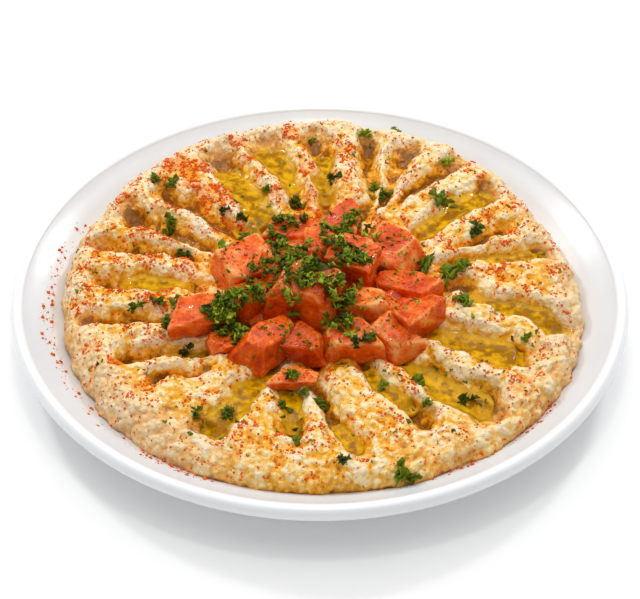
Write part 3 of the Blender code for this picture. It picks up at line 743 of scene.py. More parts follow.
class MEZZE_OT_plate(bpy.types.Operator):
    """Turn the white plate with its lip and foot ring"""
    bl_idname = "mezze.plate"
    bl_label = "Plate"

    def execute(self, context):
        shape = bmesh.new()
        corners = [shape.verts.new((radius, 0, height)) for radius, height in plate_profile()]
        edges = [shape.edges.new(pair) for pair in zip(corners, corners[1:])]
        bmesh.ops.spin(shape, geom=corners + edges, cent=(0, 0, 0), axis=(0, 0, 1), angle=math.tau,
                       steps=TURN_STEPS, use_merge=True)
        bmesh.ops.remove_doubles(shape, verts=shape.verts, dist=0.01 * MM)
        face_outwards(shape)
        mesh = mesh_of(shape, "serving_plate")
        places = places_of(mesh)
        set_attribute(mesh, "stain", plate_stain(places))
        # Where the lip's painted lighter colour takes over from the flange's painted shade
        set_attribute(mesh, "lip", smooth_step(polar(places)[0], *LIP_PAINTED_LIGHT_RADII))
        plate = new_piece("serving_plate", mesh, glaze_material(context.scene.mezze_plate))
        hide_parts("plate")
        return {"FINISHED"}


# Dip

def dip_edge(bearing):
    """Radius of the dip's uneven outline at a bearing."""
    bearings, radii = np.array(OUTLINE).T
    smooth = np.interp(np.degrees(bearing), bearings, radii, period=360) * MM
    along = np.stack([smooth * np.cos(bearing), smooth * np.sin(bearing), np.zeros_like(bearing)], axis=1)
    return smooth + sum(far * noise_at(along, size, 37.0) for size, far in BULGES)


def strokes_at(radius, bearing):
    """How deep the spoon pressed at each point, how far across its stroke the point lies, and which it is."""
    summed, cut = np.zeros_like(radius), np.zeros_like(radius)
    across, which = np.zeros_like(radius), np.zeros_like(radius)
    for number, stroke in enumerate(STROKES.values()):
        outer_bearing, outer, inner_bearing, inner, width, depth = stroke
        outer, inner, width = outer * MM, inner * MM, width * STROKE_WIDENING * MM
        along = (radius - inner) / (outer - inner)
        on_stroke = np.clip(along, 0, 1)
        middle = np.radians(inner_bearing + (outer_bearing - inner_bearing) * on_stroke)
        turn = np.arctan2(np.sin(bearing - middle), np.cos(bearing - middle))
        half = width / 2 * (1 - STROKE_NARROWING * (1 - on_stroke))
        past = np.maximum(radius - outer, 0) / OUTER_END + np.maximum(inner - radius, 0) / INNER_END
        reach = np.minimum(np.hypot(radius * turn / half, past), 1)
        slope = np.minimum(np.hypot(radius * turn / (half * SHOULDER_WIDTH), past), 1)
        flatness = np.interp(width, (NARROW_STROKE, WIDE_STROKE), (NARROW_FLATNESS, WIDE_FLATNESS))
        here = (1 - SHOULDER_SHARE) * (1 + np.cos(math.pi * reach ** flatness))
        deepest = depth * STROKE_DEEPENING * (1 - STROKE_SHALLOWING * (1 - on_stroke)) * MM
        here = deepest * 0.5 * (here + SHOULDER_SHARE * (1 + np.cos(math.pi * slope)))
        summed += here ** CREST_ROUNDING
        deeper = here > cut
        cut = np.where(deeper, here, cut)
        across = np.where(deeper, radius * turn, across)
        which = np.where(deeper, number, which)
    return summed ** (1 / CREST_ROUNDING), across, which


def dip_height(x, y):
    """Height of the dip's upper surface, and its spoon strokes as strokes_at gives them."""
    radius, bearing = np.hypot(x, y), np.arctan2(y, x)
    edge = dip_edge(bearing)
    crest = DIP_CREST + DIP_BACK_RISE * np.sin(bearing)
    raised = smooth_step(radius, MIDDLE_RADIUS, RING_RADIUS)
    flat = np.stack([x, y, np.zeros_like(x)], axis=1)
    stray_x = sum(far * noise_at(flat, size, 61.0) for size, far in WANDER)
    stray_y = sum(far * noise_at(flat, size, 83.0) for size, far in WANDER)
    strokes = strokes_at(np.hypot(x + stray_x, y + stray_y), np.arctan2(y + stray_y, x + stray_x))
    body = DIP_MIDDLE + (crest - DIP_MIDDLE) * raised - strokes[0]
    for size, height in LUMPS:
        body += height * noise_at(flat + np.array([0, 0, size * size / MM]), size)
    foot = plate_top(edge) + GAP
    out = np.clip((radius - edge + FLANK) / FLANK, 0, 1)
    return foot + (body - foot) * np.sqrt(1 - out * out), strokes


def disc_places(square):
    """Points of a square from -1 to 1 moved to a disc with even spacing: share of the radius, and bearing."""
    a, b = square[:, 0], square[:, 1]
    wide = np.abs(a) > np.abs(b)
    safe_a, safe_b = np.where(a == 0, 1e-9, a), np.where(b == 0, 1e-9, b)
    share = np.where(wide, a, b)
    bearing = np.where(wide, math.pi / 4 * b / safe_a, math.pi / 2 - math.pi / 4 * a / safe_b)
    bearing = np.where(share < 0, bearing + math.pi, bearing)
    return np.abs(share), bearing


def dip_plan(share, bearing):
    """Where a share of the way from the middle to the foot of the flank lies, evenly along the surface."""
    edge = dip_edge(bearing)
    inside = (edge - FLANK) * share / FLANK_STARTS
    swing = math.pi / 2 * np.clip((share - FLANK_STARTS) / (1 - FLANK_STARTS), 0, 1)
    radius = np.where(share < FLANK_STARTS, inside, edge - FLANK * (1 - np.sin(swing)))
    return radius * np.cos(bearing), radius * np.sin(bearing)


def spoon_marks(places, strokes, settings):
    """How far the surface stands out where the spoon left curds and streaks."""
    cut, across, which = strokes
    radius = polar(places)[0]
    in_stroke = smooth_step(cut, *CURD_DEPTHS)
    flank = smooth_step(radius, *LUMPY_FLANK)
    lump = sum(share * noise_at(places, size, seed) for size, seed, share in (BROAD_LUMPS, GRAINY_LUMPS))
    lump += sum(share * (curds_at(places, size, seed) - CURD_MIDDLE)
                for size, seed, share in (LARGE_CURDS, SMALL_CURDS))
    lines = np.stack([across / STREAK_WIDTH, radius / STREAK_LENGTH, which * 3.7], axis=1)
    streak = noise_at(lines, 1.0)
    rough = 1 - 0.3 * in_stroke + 0.25 * flank
    return settings.lump * lump * rough + settings.streak * streak * in_stroke


def evened(rows, rounds):
    """A grid of values, each brought close to its neighbours a number of times."""
    for _ in range(rounds):
        wide = np.pad(rows, 1, mode="edge")
        rows = (2 * rows + wide[:-2, 1:-1] + wide[2:, 1:-1] + wide[1:-1, :-2] + wide[1:-1, 2:]) / 6
    return rows


def surface_tone(square, places):
    """How light the spread is painted: a painted highlight on what stands out, and painted shade in creases
    and hollows, partly for the oil that gathers there.
    """
    order = np.lexsort((square[:, 0].round(6), square[:, 1].round(6)))
    side = math.isqrt(len(order))
    heights = places[order, 2].reshape(side, side)
    near = evened(heights, BUMP_ROUNDS)
    stands_out, hollow = np.empty(len(order)), np.empty(len(order))
    stands_out[order] = (heights - near).ravel()
    hollow[order] = (evened(near, HOLLOW_ROUNDS) - near).ravel()
    # Painted light: the flank is painted lighter, most at the back and not at all at the front
    flank = smooth_step(polar(places)[0], *PAINTED_FLANK_LIGHT_RADII) * np.clip(0.5 + places[:, 1] / (90 * MM), 0, 1)
    patch = noise_at(places, *TONE_PATCHES)
    # Painted highlight where the surface stands out, painted shade in hollows
    tone = (USUAL_TONE + BUMP_HIGHLIGHT * stands_out / BUMP_HEIGHT
            - HOLLOW_SHADE_AND_OIL * np.clip(hollow / MM, MOST_RAISED, MOST_HOLLOW) + PATCH_TONE * patch)
    return np.clip(tone + FLANK_PAINTED_LIGHT * flank, 0, 1)


def oil_share(places, strokes):
    """How much oil has soaked into the dip, most in the strokes."""
    radius, bearing = polar(places)
    low = smooth_step(strokes[0], *OILY_DEPTHS)
    patch = smooth_step(noise_at(places, *OIL_PATCHES), -0.25, 0.45)
    outside = smooth_step(radius, *OILY_FLANK)
    front = smooth_step(-np.sin(np.radians(bearing)), 0.5, 0.9)
    soaked = STROKE_OIL * low + PATCH_OIL * patch + FRONT_OIL * front
    return np.clip(soaked * (1 - FLANK_LOSS * outside), 0, 1)


def spice_share(places, normals, strokes):
    """How thickly paprika lies, most on the crests at the back and left."""
    radius, bearing = polar(places)
    side = USUAL_SPICE + sum(amount * hump(bearing, middle, half) for middle, half, amount in SPICE_ZONES)
    high = 0.30 + 0.70 * (1 - smooth_step(strokes[0], *SPICED_DEPTHS))
    up = 0.25 + 0.75 * smooth_step(normals[:, 2], 0.05, 0.75)
    patch = 0.25 + 0.9 * smooth_step(noise_at(places, *SPICE_PATCHES), -0.3, 0.4)
    outer = 1 - 0.65 * smooth_step(radius, *SPICED_FLANK)
    return np.clip(side * high * up * patch * outer, 0, 1)


def dry_share(places):
    """How dry and dull the spread is, most on the flank at the right and the lower left."""
    radius, bearing = polar(places)
    flank = smooth_step(radius, *DRY_FLANK)
    dry = USUAL_DRYNESS + sum(amount * hump(bearing, middle, half) for middle, half, amount in DRY_ZONES)
    return dry * (0.02 + 0.98 * flank)


def char_share(places):
    """Where charred skin shows through."""
    char = np.zeros(len(places))
    for bearing, radius, height, size in SKIN_PATCHES:
        turn = math.radians(bearing)
        middle = np.array([radius * math.cos(turn), radius * math.sin(turn), height]) * MM
        away = np.linalg.norm(places - middle, axis=1) / (size * MM)
        char = np.maximum(char, SKIN_PATCH_MOST * np.clip(1 - away ** 2, 0, 1))
    haze = smooth_step(noise_at(places, *SKIN_HAZE), 0.25, 0.6)
    return np.maximum(char, SKIN_HAZE_MOST * haze)


class MEZZE_OT_dip(bpy.types.Operator):
    """Spread the dip with its spoon strokes and lumpy flank"""
    bl_idname = "mezze.dip"
    bl_label = "Dip"

    def execute(self, context):
        settings = context.scene.mezze_dip
        shape = bmesh.new()
        bmesh.ops.create_grid(shape, x_segments=DIP_CELLS, y_segments=DIP_CELLS, size=1)
        mesh = mesh_of(shape, "baba_ganoush_spread")
        square = places_of(mesh)[:, :2]
        x, y = dip_plan(*disc_places(square / np.abs(square).max()))
        z, strokes = dip_height(x, y)
        places = np.stack([x, y, z], axis=1)
        set_places(mesh, places)
        if mesh.polygons[0].normal.z < 0:
            mesh.flip_normals()
        places += places_of(mesh, "normal") * spoon_marks(places, strokes, settings)[:, None]
        set_places(mesh, places)
        normals = places_of(mesh, "normal")
        set_attribute(mesh, "oil", oil_share(places, strokes))
        set_attribute(mesh, "spice", spice_share(places, normals, strokes))
        set_attribute(mesh, "char", char_share(places))
        set_attribute(mesh, "dry", dry_share(places))
        set_attribute(mesh, "tone", surface_tone(square, places))
        self.close_below(mesh)
        dip = new_piece("baba_ganoush_spread", mesh, spread_material(settings))
        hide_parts("baba_ganoush")
        return {"FINISHED"}

    def close_below(self, mesh):
        """A wall down to the plate, and an underside that follows it to the middle."""
        shape = bmesh.new()
        shape.from_mesh(mesh)
        rim = [edge for edge in shape.edges if len(edge.link_faces) == 1]
        last = 1.0
        for share, lift in UNDERSIDE:
            made = bmesh.ops.extrude_edge_only(shape, edges=rim)["geom"]
            rim = [item for item in made if isinstance(item, bmesh.types.BMEdge)]
            for vertex in (item for item in made if isinstance(item, bmesh.types.BMVert)):
                vertex.co.x *= share / last
                vertex.co.y *= share / last
                radius = np.array([math.hypot(vertex.co.x, vertex.co.y)])
                vertex.co.z = float(plate_top(radius)[0]) + lift * MM
            last = share
        bmesh.ops.holes_fill(shape, edges=rim, sides=0)
        face_outwards(shape)
        shape.to_mesh(mesh)
        shape.free()


# Landing things on the surface

def tree_of(name):
    return BVHTree.FromObject(bpy.data.objects[name], bpy.context.evaluated_depsgraph_get())


def trees_of(prefixes):
    """Search trees of all pieces whose names start in one of these ways."""
    names = [o.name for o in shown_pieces() if o.name.startswith(tuple(prefixes))]
    return [tree_of(name) for name in names]


def land(x, y, trees):
    """The highest surface point under a place, with its normal, or None."""
    best = None
    for tree in trees:
        place, normal, _, _ = tree.ray_cast(Vector((x, y, 0.1)), Vector((0, 0, -1)))
        if place is not None and (best is None or place.z > best[0].z):
            best = (place, normal)
    return best


def places_and_normals(spots):
    """What land returned for each spot, as two arrays of rows."""
    return np.array([spot[0][:] for spot in spots]), np.array([spot[1][:] for spot in spots])


def frames(normals, yaw, rng, tilt):
    """Rotation matrices whose Z axis is near each normal, turned by yaw and tilted a little."""
    z = normals + rng.normal(0, tilt, normals.shape)
    z /= np.linalg.norm(z, axis=1, keepdims=True)
    forward = np.stack([np.cos(yaw), np.sin(yaw), np.zeros_like(yaw)], axis=1)
    x = forward - z * np.sum(forward * z, axis=1, keepdims=True)
    x /= np.linalg.norm(x, axis=1, keepdims=True)
    y = np.cross(z, x)
    return np.stack([x, y, z], axis=2)


def joined_copies(name, templates, places, turns, sizes, shades, rng):
    """One mesh of many copies; each copy takes one of the templates, which are triangles."""
    parts, faces, shade_rows, start = [], [], [], 0
    kinds = rng.integers(len(templates), size=len(places))
    for kind, (corners, triangles) in enumerate(templates):
        chosen = np.flatnonzero(kinds == kind)
        scaled = corners[None] * sizes[chosen][:, None, :]
        moved = np.einsum("nij,nkj->nki", turns[chosen], scaled) + places[chosen][:, None, :]
        parts.append(moved.reshape(-1, 3))
        offsets = start + np.arange(len(chosen)) * len(corners)
        faces.append((triangles[None] + offsets[:, None, None]).reshape(-1, 3))
        shade_rows.append(np.repeat(shades[chosen], len(corners)))
        start += len(chosen) * len(corners)
    corners, triangles = np.concatenate(parts), np.concatenate(faces)
    mesh = bpy.data.meshes.new(name)
    mesh.from_pydata(corners, [], triangles)
    set_attribute(mesh, "shade", np.concatenate(shade_rows))
    return mesh


def template_of(shape):
    """The corners and triangles of a small bmesh, which is freed."""
    bmesh.ops.triangulate(shape, faces=shape.faces[:])
    face_outwards(shape)
    shape.verts.index_update()
    corners = np.array([vertex.co[:] for vertex in shape.verts])
    triangles = np.array([[vertex.index for vertex in face.verts] for face in shape.faces])
    shape.free()
    return corners, triangles


# Tomato

def die_shape(length, width, height, taper, seed, cuts=DIE_CUTS):
    """A crooked block with soft edges and sliced corners, and how pale each point of it is, painted paler at
    the top and along the edges as painted light.
    """
    rng = np.random.default_rng(seed)
    shape = bmesh.new()
    bmesh.ops.create_cube(shape, size=2)
    bmesh.ops.subdivide_edges(shape, edges=shape.edges[:], cuts=cuts, use_grid_fill=True)
    mesh = mesh_of(shape, "tomato_die")
    way = places_of(mesh)
    way /= np.linalg.norm(way, axis=1, keepdims=True)
    sides = np.concatenate([np.eye(3), -np.eye(3)]) + rng.normal(0, DIE_LEAN, (6, 3))
    slices = rng.choice([-1, 1], (DIE_SLICES, 3)) * rng.uniform(0.3, 1.0, (DIE_SLICES, 3))
    planes = np.concatenate([sides, slices])
    planes /= np.linalg.norm(planes, axis=1, keepdims=True)
    to_corner = np.abs(planes[6:]).sum(axis=1)
    reach = np.concatenate([np.ones(6), rng.uniform(*SLICE_REACH, DIE_SLICES) * to_corner])
    facing = np.maximum(way @ planes.T / reach, 0)
    gauge = (facing ** DIE_SHARPNESS).sum(axis=1) ** (1 / DIE_SHARPNESS)
    places = way / gauge[:, None]
    far = (places[:, :1] + 1) / 2
    places = places * np.array([length, width, height]) / 2
    places *= np.concatenate([np.ones_like(far), 1 - taper * far, 1 - taper / 3 * far], axis=1)
    outward = places / np.linalg.norm(places, axis=1, keepdims=True)
    wobble = sum(noise_at(places, size, seed * step) * far for size, far, step in DIE_WOBBLES)
    set_places(mesh, places + outward * wobble[:, None])
    skin_side = rng.integers(6)
    skin = smooth_step(facing[:, skin_side] / gauge, 0.90, 0.99) * (rng.random() < SKIN_CHANCE)
    edges = 1 - smooth_step(facing.max(axis=1) / gauge, 0.94, 1.0)
    # Painted light: paler towards the top, and paler along the edges as a painted glow and highlight
    pale = USUAL_PALENESS + rng.uniform(-PALENESS_SPREAD, PALENESS_SPREAD) + 0.05 * places[:, 2] / height
    pale = pale + SKIN_PALENESS * skin + EDGE_PAINTED_GLOW * edges
    return mesh, pale


class MEZZE_OT_tomato(bpy.types.Operator):
    """Lay the diced tomato on the middle of the dip"""
    bl_idname = "mezze.tomato"
    bl_label = "Diced tomato"

    def execute(self, context):
        finish = tomato_material(context.scene.mezze_tomato)
        for number, (x, y, length, width, height, yaw, lean, taper) in enumerate(DICE, 1):
            node = f"tomato_die_{number:02d}"
            low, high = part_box(node)
            sides = [side * MM + min(DIE_MOST_GROWTH, DIE_GROWTH * side * MM)
                     for side in (length, width, height)]
            mesh, pale = die_shape(*sides, taper, number)
            set_attribute(mesh, "pale", pale)
            turn = Matrix.Rotation(math.radians(yaw), 4, "Z") @ Matrix.Rotation(math.radians(lean), 4, "X")
            mesh.transform(Matrix.Translation((x * MM, y * MM, (low.z + high.z) / 2)) @ turn)
            die = new_piece(f"diced_tomato_{number:02d}", mesh, finish)
            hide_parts(node)
        self.bits(finish)
        return {"FINISHED"}

    def bits(self, finish):
        """Lays small chunks where the dip would show between the dice."""
        rng = np.random.default_rng(SEEDS["tomato_bits"])
        dice, dip = trees_of(["diced_tomato"]), trees_of(["baba_ganoush_spread"])
        templates = []
        for seed in range(5):
            shape = bmesh.new()
            shape.from_mesh(die_shape(1, 0.8, 0.7, 0.2, 70 + seed, cuts=BIT_CUTS)[0])
            templates.append(template_of(shape))
        spots = []
        for x in np.arange(-36 * MM, 41 * MM, BIT_SPACING * MM):
            for y in np.arange(-46 * MM, 38 * MM, BIT_SPACING * MM):
                x_here, y_here = x + rng.normal(0, 1.2) * MM, y + rng.normal(0, 1.2) * MM
                across, along = x_here / (BIT_AREA[0] * MM), (y_here - BIT_MIDDLE_Y * MM) / (BIT_AREA[1] * MM)
                if math.hypot(across, along) < 1 and land(x_here, y_here, dice) is None:
                    spots.append(land(x_here, y_here, dip))
        places, normals = places_and_normals(spots)
        size = rng.uniform(*BIT_SIZES, len(spots)) * MM
        places[:, 2] += 0.30 * size
        sizes = size[:, None] * rng.uniform(0.8, 1.2, (len(spots), 3))
        turns = frames(normals, rng.uniform(0, math.tau, len(spots)), rng, 0.4)
        paleness = rng.uniform(0.2, 0.6, len(spots))
        mesh = joined_copies("tomato_bits", templates, places, turns, sizes, paleness, rng)
        set_attribute(mesh, "pale", read_attribute(mesh, "shade"))
        new_piece("tomato_bits", mesh, finish)


# Oil

def pool_place(letter):
    """Middle of a pool, its bearing and its level."""
    near, far, depth = POOLS[letter]
    outer_bearing, outer, inner_bearing, inner, _, _ = STROKES[letter]
    middle = (near + far) / 2
    share = (middle - inner) / (outer - inner)
    bearing = math.radians(inner_bearing + (outer_bearing - inner_bearing) * share)
    x, y = middle * MM * math.cos(bearing), middle * MM * math.sin(bearing)
    floor, _ = dip_height(np.array([x]), np.array([y]))
    return x, y, bearing, float(floor[0]) + depth * MM


class MEZZE_OT_oil(bpy.types.Operator):
    """Fill the strokes with olive oil up to its level"""
    bl_idname = "mezze.oil"
    bl_label = "Olive oil"

    def execute(self, context):
        settings = context.scene.mezze_oil
        finish = oil_material(settings)
        dip = tree_of("baba_ganoush_spread")
        for letter in POOLS:
            mesh = self.pool(letter, dip, settings)
            pool = new_piece(f"oil_pool_{letter}", mesh, finish)
            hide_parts(f"olive_oil_{letter}")
        return {"FINISHED"}

    def pool(self, letter, dip, settings):
        """A sheet of oil over the stroke, lower and ragged at its edge, closed along the dip's surface."""
        near, far, _ = POOLS[letter]
        width = STROKES[letter][4]
        x, y, bearing, level = pool_place(letter)
        half_length, half_width = (far - near) / 2 * MM * POOL_REACH, width / 2 * MM * POOL_BREADTH
        shape = bmesh.new()
        bmesh.ops.create_grid(shape, x_segments=round(2 * half_length / POOL_SPACING),
                              y_segments=round(2 * half_width / POOL_SPACING), size=1)
        mesh = mesh_of(shape, "oil_pool")
        unit = places_of(mesh)[:, :2]
        unit /= np.abs(unit).max(axis=0)
        along, across = unit[:, 0] * half_length, unit[:, 1] * half_width
        px = x + along * math.cos(bearing) - across * math.sin(bearing)
        py = y + along * math.sin(bearing) + across * math.cos(bearing)
        floor = np.array([land(a, b, [dip])[0].z for a, b in zip(px, py)])
        flat = np.stack([px, py, 0 * px], axis=1)
        ragged = 1 + 0.3 * noise_at(flat, 11 * MM, 71.0) + 0.25 * noise_at(flat, 5 * MM, 73.0)
        surface = level - POOL_EDGE_DROP * smooth_step(np.hypot(*unit.T) * ragged, 0.72, 1.0)
        deep = surface - floor
        surface = surface + settings.meniscus * np.exp(-np.maximum(deep, 0) / MENISCUS_FADE)
        set_places(mesh, np.stack([px, py, surface], axis=1))
        set_attribute(mesh, "depth", 1 - np.exp(-np.maximum(deep, 0) / OIL_DARKENING))
        self.trim(mesh, surface - floor, (x, y), floor)
        return mesh

    def trim(self, mesh, clear, middle, floor):
        """Deletes what lies under the dip's surface, keeps the part round the middle, and closes it below."""
        shape = bmesh.new()
        shape.from_mesh(mesh)
        hidden = {face for face in shape.faces if all(clear[v.index] < -GAP for v in face.verts)}
        floor_under = {(round(v.co.x, 7), round(v.co.y, 7)): floor[v.index] for v in shape.verts}
        start = min(shape.verts, key=lambda v: math.hypot(v.co.x - middle[0], v.co.y - middle[1]))
        kept, search = set(), [face for face in start.link_faces if face not in hidden]
        while search:
            face = search.pop()
            if face in kept:
                continue
            kept.add(face)
            search.extend(other for edge in face.edges for other in edge.link_faces
                          if other not in kept and other not in hidden)
        bmesh.ops.delete(shape, geom=[face for face in shape.faces if face not in kept], context="FACES")
        made = bmesh.ops.extrude_face_region(shape, geom=shape.faces[:], use_keep_orig=True)["geom"]
        for vertex in (item for item in made if isinstance(item, bmesh.types.BMVert)):
            below = floor_under.get((round(vertex.co.x, 7), round(vertex.co.y, 7)), vertex.co.z)
            vertex.co.z = min(below, vertex.co.z) - GAP
        face_outwards(shape)
        shape.to_mesh(mesh)
        shape.free()


# Parsley

LEAF_STEM = 0.35    # how far a leaf's stem end lies before its middle


def leaf_template(seed, rings, cells, spread, lobes, ruffle, thickness):
    """A ruffled, lobed fan of leaf, one unit long, with its stem end at the middle."""
    rng = np.random.default_rng(seed)
    shape = bmesh.new()
    bmesh.ops.create_grid(shape, x_segments=cells, y_segments=rings, size=1)
    phase = rng.uniform(0, math.tau)
    extent = max(abs(vertex.co.x) for vertex in shape.verts)
    for vertex in shape.verts:
        side, out = vertex.co.x / extent, (vertex.co.y / extent + 1) / 2
        angle = side * spread / 2
        lobe = 0.72 + 0.28 * math.cos(lobes * angle + phase) + 0.10 * math.cos(3 * lobes * angle)
        reach = (0.08 + 0.92 * out) * lobe
        wave = ruffle * out ** 1.5 * math.sin(1.6 * lobes * angle + phase)
        crumple = noise.noise((reach * math.cos(angle) * 3, reach * math.sin(angle) * 3, seed * 1.3))
        wave += 0.35 * ruffle * crumple
        vertex.co = (reach * math.cos(angle) - LEAF_STEM, reach * math.sin(angle), wave)
    bmesh.ops.recalc_face_normals(shape, faces=shape.faces)
    bmesh.ops.solidify(shape, geom=shape.faces[:], thickness=thickness)
    return template_of(shape)


def sprig_template(seed, count, thickness):
    """A short sprig one unit long: ruffled leaflets in pairs along a stem, with one at its tip."""
    rng = np.random.default_rng(seed)
    shape = bmesh.new()
    bmesh.ops.create_cone(shape, cap_ends=True, segments=5, radius1=0.035, radius2=0.02, depth=0.7)
    bmesh.ops.rotate(shape, verts=shape.verts, matrix=Matrix.Rotation(math.pi / 2, 3, "Y"))
    bmesh.ops.translate(shape, verts=shape.verts, vec=(-0.15, 0, 0))
    stem, stem_faces = template_of(shape)
    rows, faces = [stem], [stem_faces]
    for i in range(count):
        corners, triangles = leaf_template(seed * 10 + i, 3, 8, 2.6, 3, 0.42, thickness)
        tip = i == count - 1
        side = 0 if tip else (-1) ** i
        along = 0.12 if tip else -0.30 + 0.40 * (i // 2) / max(count // 2, 1)
        turn = Matrix.Rotation(side * rng.uniform(0.7, 1.3) + rng.normal(0, 0.15), 3, "Z")
        turn = turn @ Matrix.Rotation(rng.uniform(-0.7, 0.1), 3, "Y")
        turn = turn @ Matrix.Rotation(rng.normal(0, 0.5), 3, "X")
        size = rng.uniform(0.36, 0.5)
        faces.append(triangles + sum(len(row) for row in rows))
        leaflet = (corners + np.array([LEAF_STEM, 0, 0])) * size @ np.array(turn).T
        rows.append(leaflet + np.array([along, 0, 0.02]))
    return np.concatenate(rows), np.concatenate(faces)


def heap_core(name, x, y, half_length, half_width, height, trees):
    """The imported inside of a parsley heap, bridging the gaps in what is under it."""
    shape = bmesh.new()
    bmesh.ops.create_icosphere(shape, subdivisions=5, radius=1)
    mesh = mesh_of(shape, name)
    unit = places_of(mesh)
    px, py = x * MM + unit[:, 0] * half_length * MM, y * MM + unit[:, 1] * half_width * MM
    rest = np.array([land(a, b, trees)[0].z for a, b in zip(px, py)])
    rest = np.maximum(rest, np.percentile(rest, 45))
    lumpy = noise_at(np.stack([px, py, unit[:, 2] * height * MM], axis=1), 2.5 * MM, 8.0)
    lift = np.maximum(unit[:, 2], 0) * height * MM * (0.75 + 0.8 * lumpy)
    z = rest - GAP + np.maximum(lift, 0) + 0.2 * MM * unit[:, 2]
    set_places(mesh, np.stack([px, py, z], axis=1))
    # The core takes the darkest leaf colour: painted shade inside the heap
    set_attribute(mesh, "shade", np.full(len(mesh.vertices), 0.05))
    return mesh


class MEZZE_OT_parsley(bpy.types.Operator):
    """Heap the chopped parsley and scatter the single bits"""
    bl_idname = "mezze.parsley"
    bl_label = "Chopped parsley"

    def execute(self, context):
        settings = context.scene.mezze_parsley
        finish = parsley_material(settings)
        ground = trees_of(["serving_plate", "baba_ganoush_spread", "diced_tomato", "oil_pool"])
        for node, (x, y, half_length, half_width, height) in HEAPS.items():
            core = heap_core(f"{node}_core", x, y, half_length * CORE_SHARE, half_width * CORE_SHARE,
                             height * CORE_HEIGHT, ground)
            heap = new_piece(f"{node}_core", core, finish)
            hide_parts(node)
        self.heaped_bits(settings, finish, ground + trees_of(["parsley_heap"]))
        self.single_leaves(settings, finish, ground)
        self.flecks(settings, finish, ground)
        return {"FINISHED"}

    def add(self, name, templates, spots, sizes, shades, finish, rng, tilt, lift):
        """One piece of many bits on their spots, each a place, a normal and perhaps a yaw."""
        places, normals = places_and_normals(spots)
        yaw = rng.uniform(0, math.tau, len(spots)) if len(spots[0]) == 2 else np.array([s[2] for s in spots])
        turns = frames(normals, yaw, rng, tilt)
        places = places + normals * lift[:, None]
        mesh = joined_copies(name, templates, places, turns, sizes, shades, rng)
        new_piece(name, mesh, finish)

    def heaped_bits(self, settings, finish, ground):
        """Chopped bits of leaf, gathered in the clusters."""
        rng = np.random.default_rng(SEEDS["chopped_parsley"])
        thin = settings.thickness / (3 * MM)
        templates = [leaf_template(seed, 3, 6, 2.6 + 0.3 * (seed % 3), 3 + seed % 3, 0.42, thin)
                     for seed in range(7)]
        spots = []
        for x, y, spread_x, spread_y, count in CLUSTERS:
            for dx, dy in rng.normal(0, 1, (round(BITS_FOR_EACH * count), 2)):
                px, py = (x + dx * spread_x) * MM, (y - BITS_FORWARD + dy * spread_y) * MM
                if noise.noise((px / (4 * MM), py / (4 * MM), 5.5)) > -0.05:
                    spots.append(land(px, py, ground))
        size = rng.uniform(*BIT_OF_LEAF, len(spots)) * MM
        sizes = size[:, None] * np.stack([np.ones(len(spots)), rng.uniform(0.5, 1.1, len(spots)),
                                          rng.uniform(0.8, 1.6, len(spots))], axis=1)
        shades = np.clip(rng.normal(0.42, 0.36, len(spots)), 0, 1)
        lift = rng.uniform(0.2, 2.6, len(spots)) * MM
        self.add("chopped_parsley", templates, spots, sizes, shades, finish, rng, 0.7, lift)
        self.heaped_sprigs(settings, finish, ground)

    def heaped_sprigs(self, settings, finish, ground):
        """A few short sprigs in each cluster."""
        rng = np.random.default_rng(SEEDS["heaped_sprigs"])
        thin = settings.thickness / (3 * MM)
        templates = [sprig_template(60 + seed, 3 + seed % 3, thin) for seed in range(6)]
        spots = []
        for x, y, spread_x, spread_y, count in CLUSTERS:
            for dx, dy in rng.normal(0, 1, (max(count // BITS_FOR_A_SPRIG, 1), 2)):
                spots.append(land((x + dx * spread_x) * MM, (y + dy * spread_y) * MM, ground))
        size = rng.uniform(*SPRIG_LENGTH, len(spots)) * MM
        sizes = np.repeat(size[:, None], 3, axis=1)
        shades = np.clip(rng.normal(0.45, 0.25, len(spots)), 0, 1)
        lift = rng.uniform(1.2, 2.6, len(spots)) * MM
        self.add("heaped_sprigs", templates, spots, sizes, shades, finish, rng, 0.4, lift)

    def single_leaves(self, settings, finish, ground):
        """The single bits, each in its place."""
        rng = np.random.default_rng(SEEDS["parsley_leaves"])
        thin = settings.thickness / (3 * MM)
        templates = [sprig_template(20 + seed, 4 + seed % 3, thin) for seed in range(8)]
        spots = [(*land(x * MM, y * MM, ground), math.radians(yaw)) for x, y, _, yaw in LEAVES]
        size = np.array([length for _, _, length, _ in LEAVES]) * MM
        sizes = np.stack([size, size * rng.uniform(0.75, 1.05, len(size)), size], axis=1)
        shades = np.clip(rng.normal(0.34, 0.2, len(spots)), 0, 1)
        lift = np.full(len(spots), 0.5 * MM)
        self.add("parsley_leaves", templates, spots, sizes, shades, finish, rng, 0.15, lift)

    def flecks(self, settings, finish, ground):
        """Tiny flecks, thickest in the middle."""
        rng = np.random.default_rng(SEEDS["parsley_flecks"])
        thin = settings.thickness / (1.6 * MM)
        templates = [leaf_template(40 + seed, 2, 4, 1.6, 3, 0.35, thin) for seed in range(5)]
        count = settings.flecks
        middle = rng.random(count) < FLECKS_IN_MIDDLE
        reach = np.where(middle, MIDDLE_REACH * np.sqrt(rng.random(count)),
                         RING_STARTS + RING_BREADTH * np.sqrt(rng.random(count)))
        turn = rng.uniform(0, math.tau, count)
        spots = [land(r * math.cos(a) * MM, (r * math.sin(a) - 6 * m) * MM, ground)
                 for r, a, m in zip(reach, turn, middle)]
        size = rng.uniform(*FLECK_LENGTH, count) * MM
        sizes = np.stack([size, size * rng.uniform(0.35, 0.8, count), size], axis=1)
        shades = np.clip(rng.normal(0.38, 0.25, count), 0, 1)
        lift = np.full(count, 0.12 * MM)
        self.add("parsley_flecks", templates, spots, sizes, shades, finish, rng, 0.3, lift)


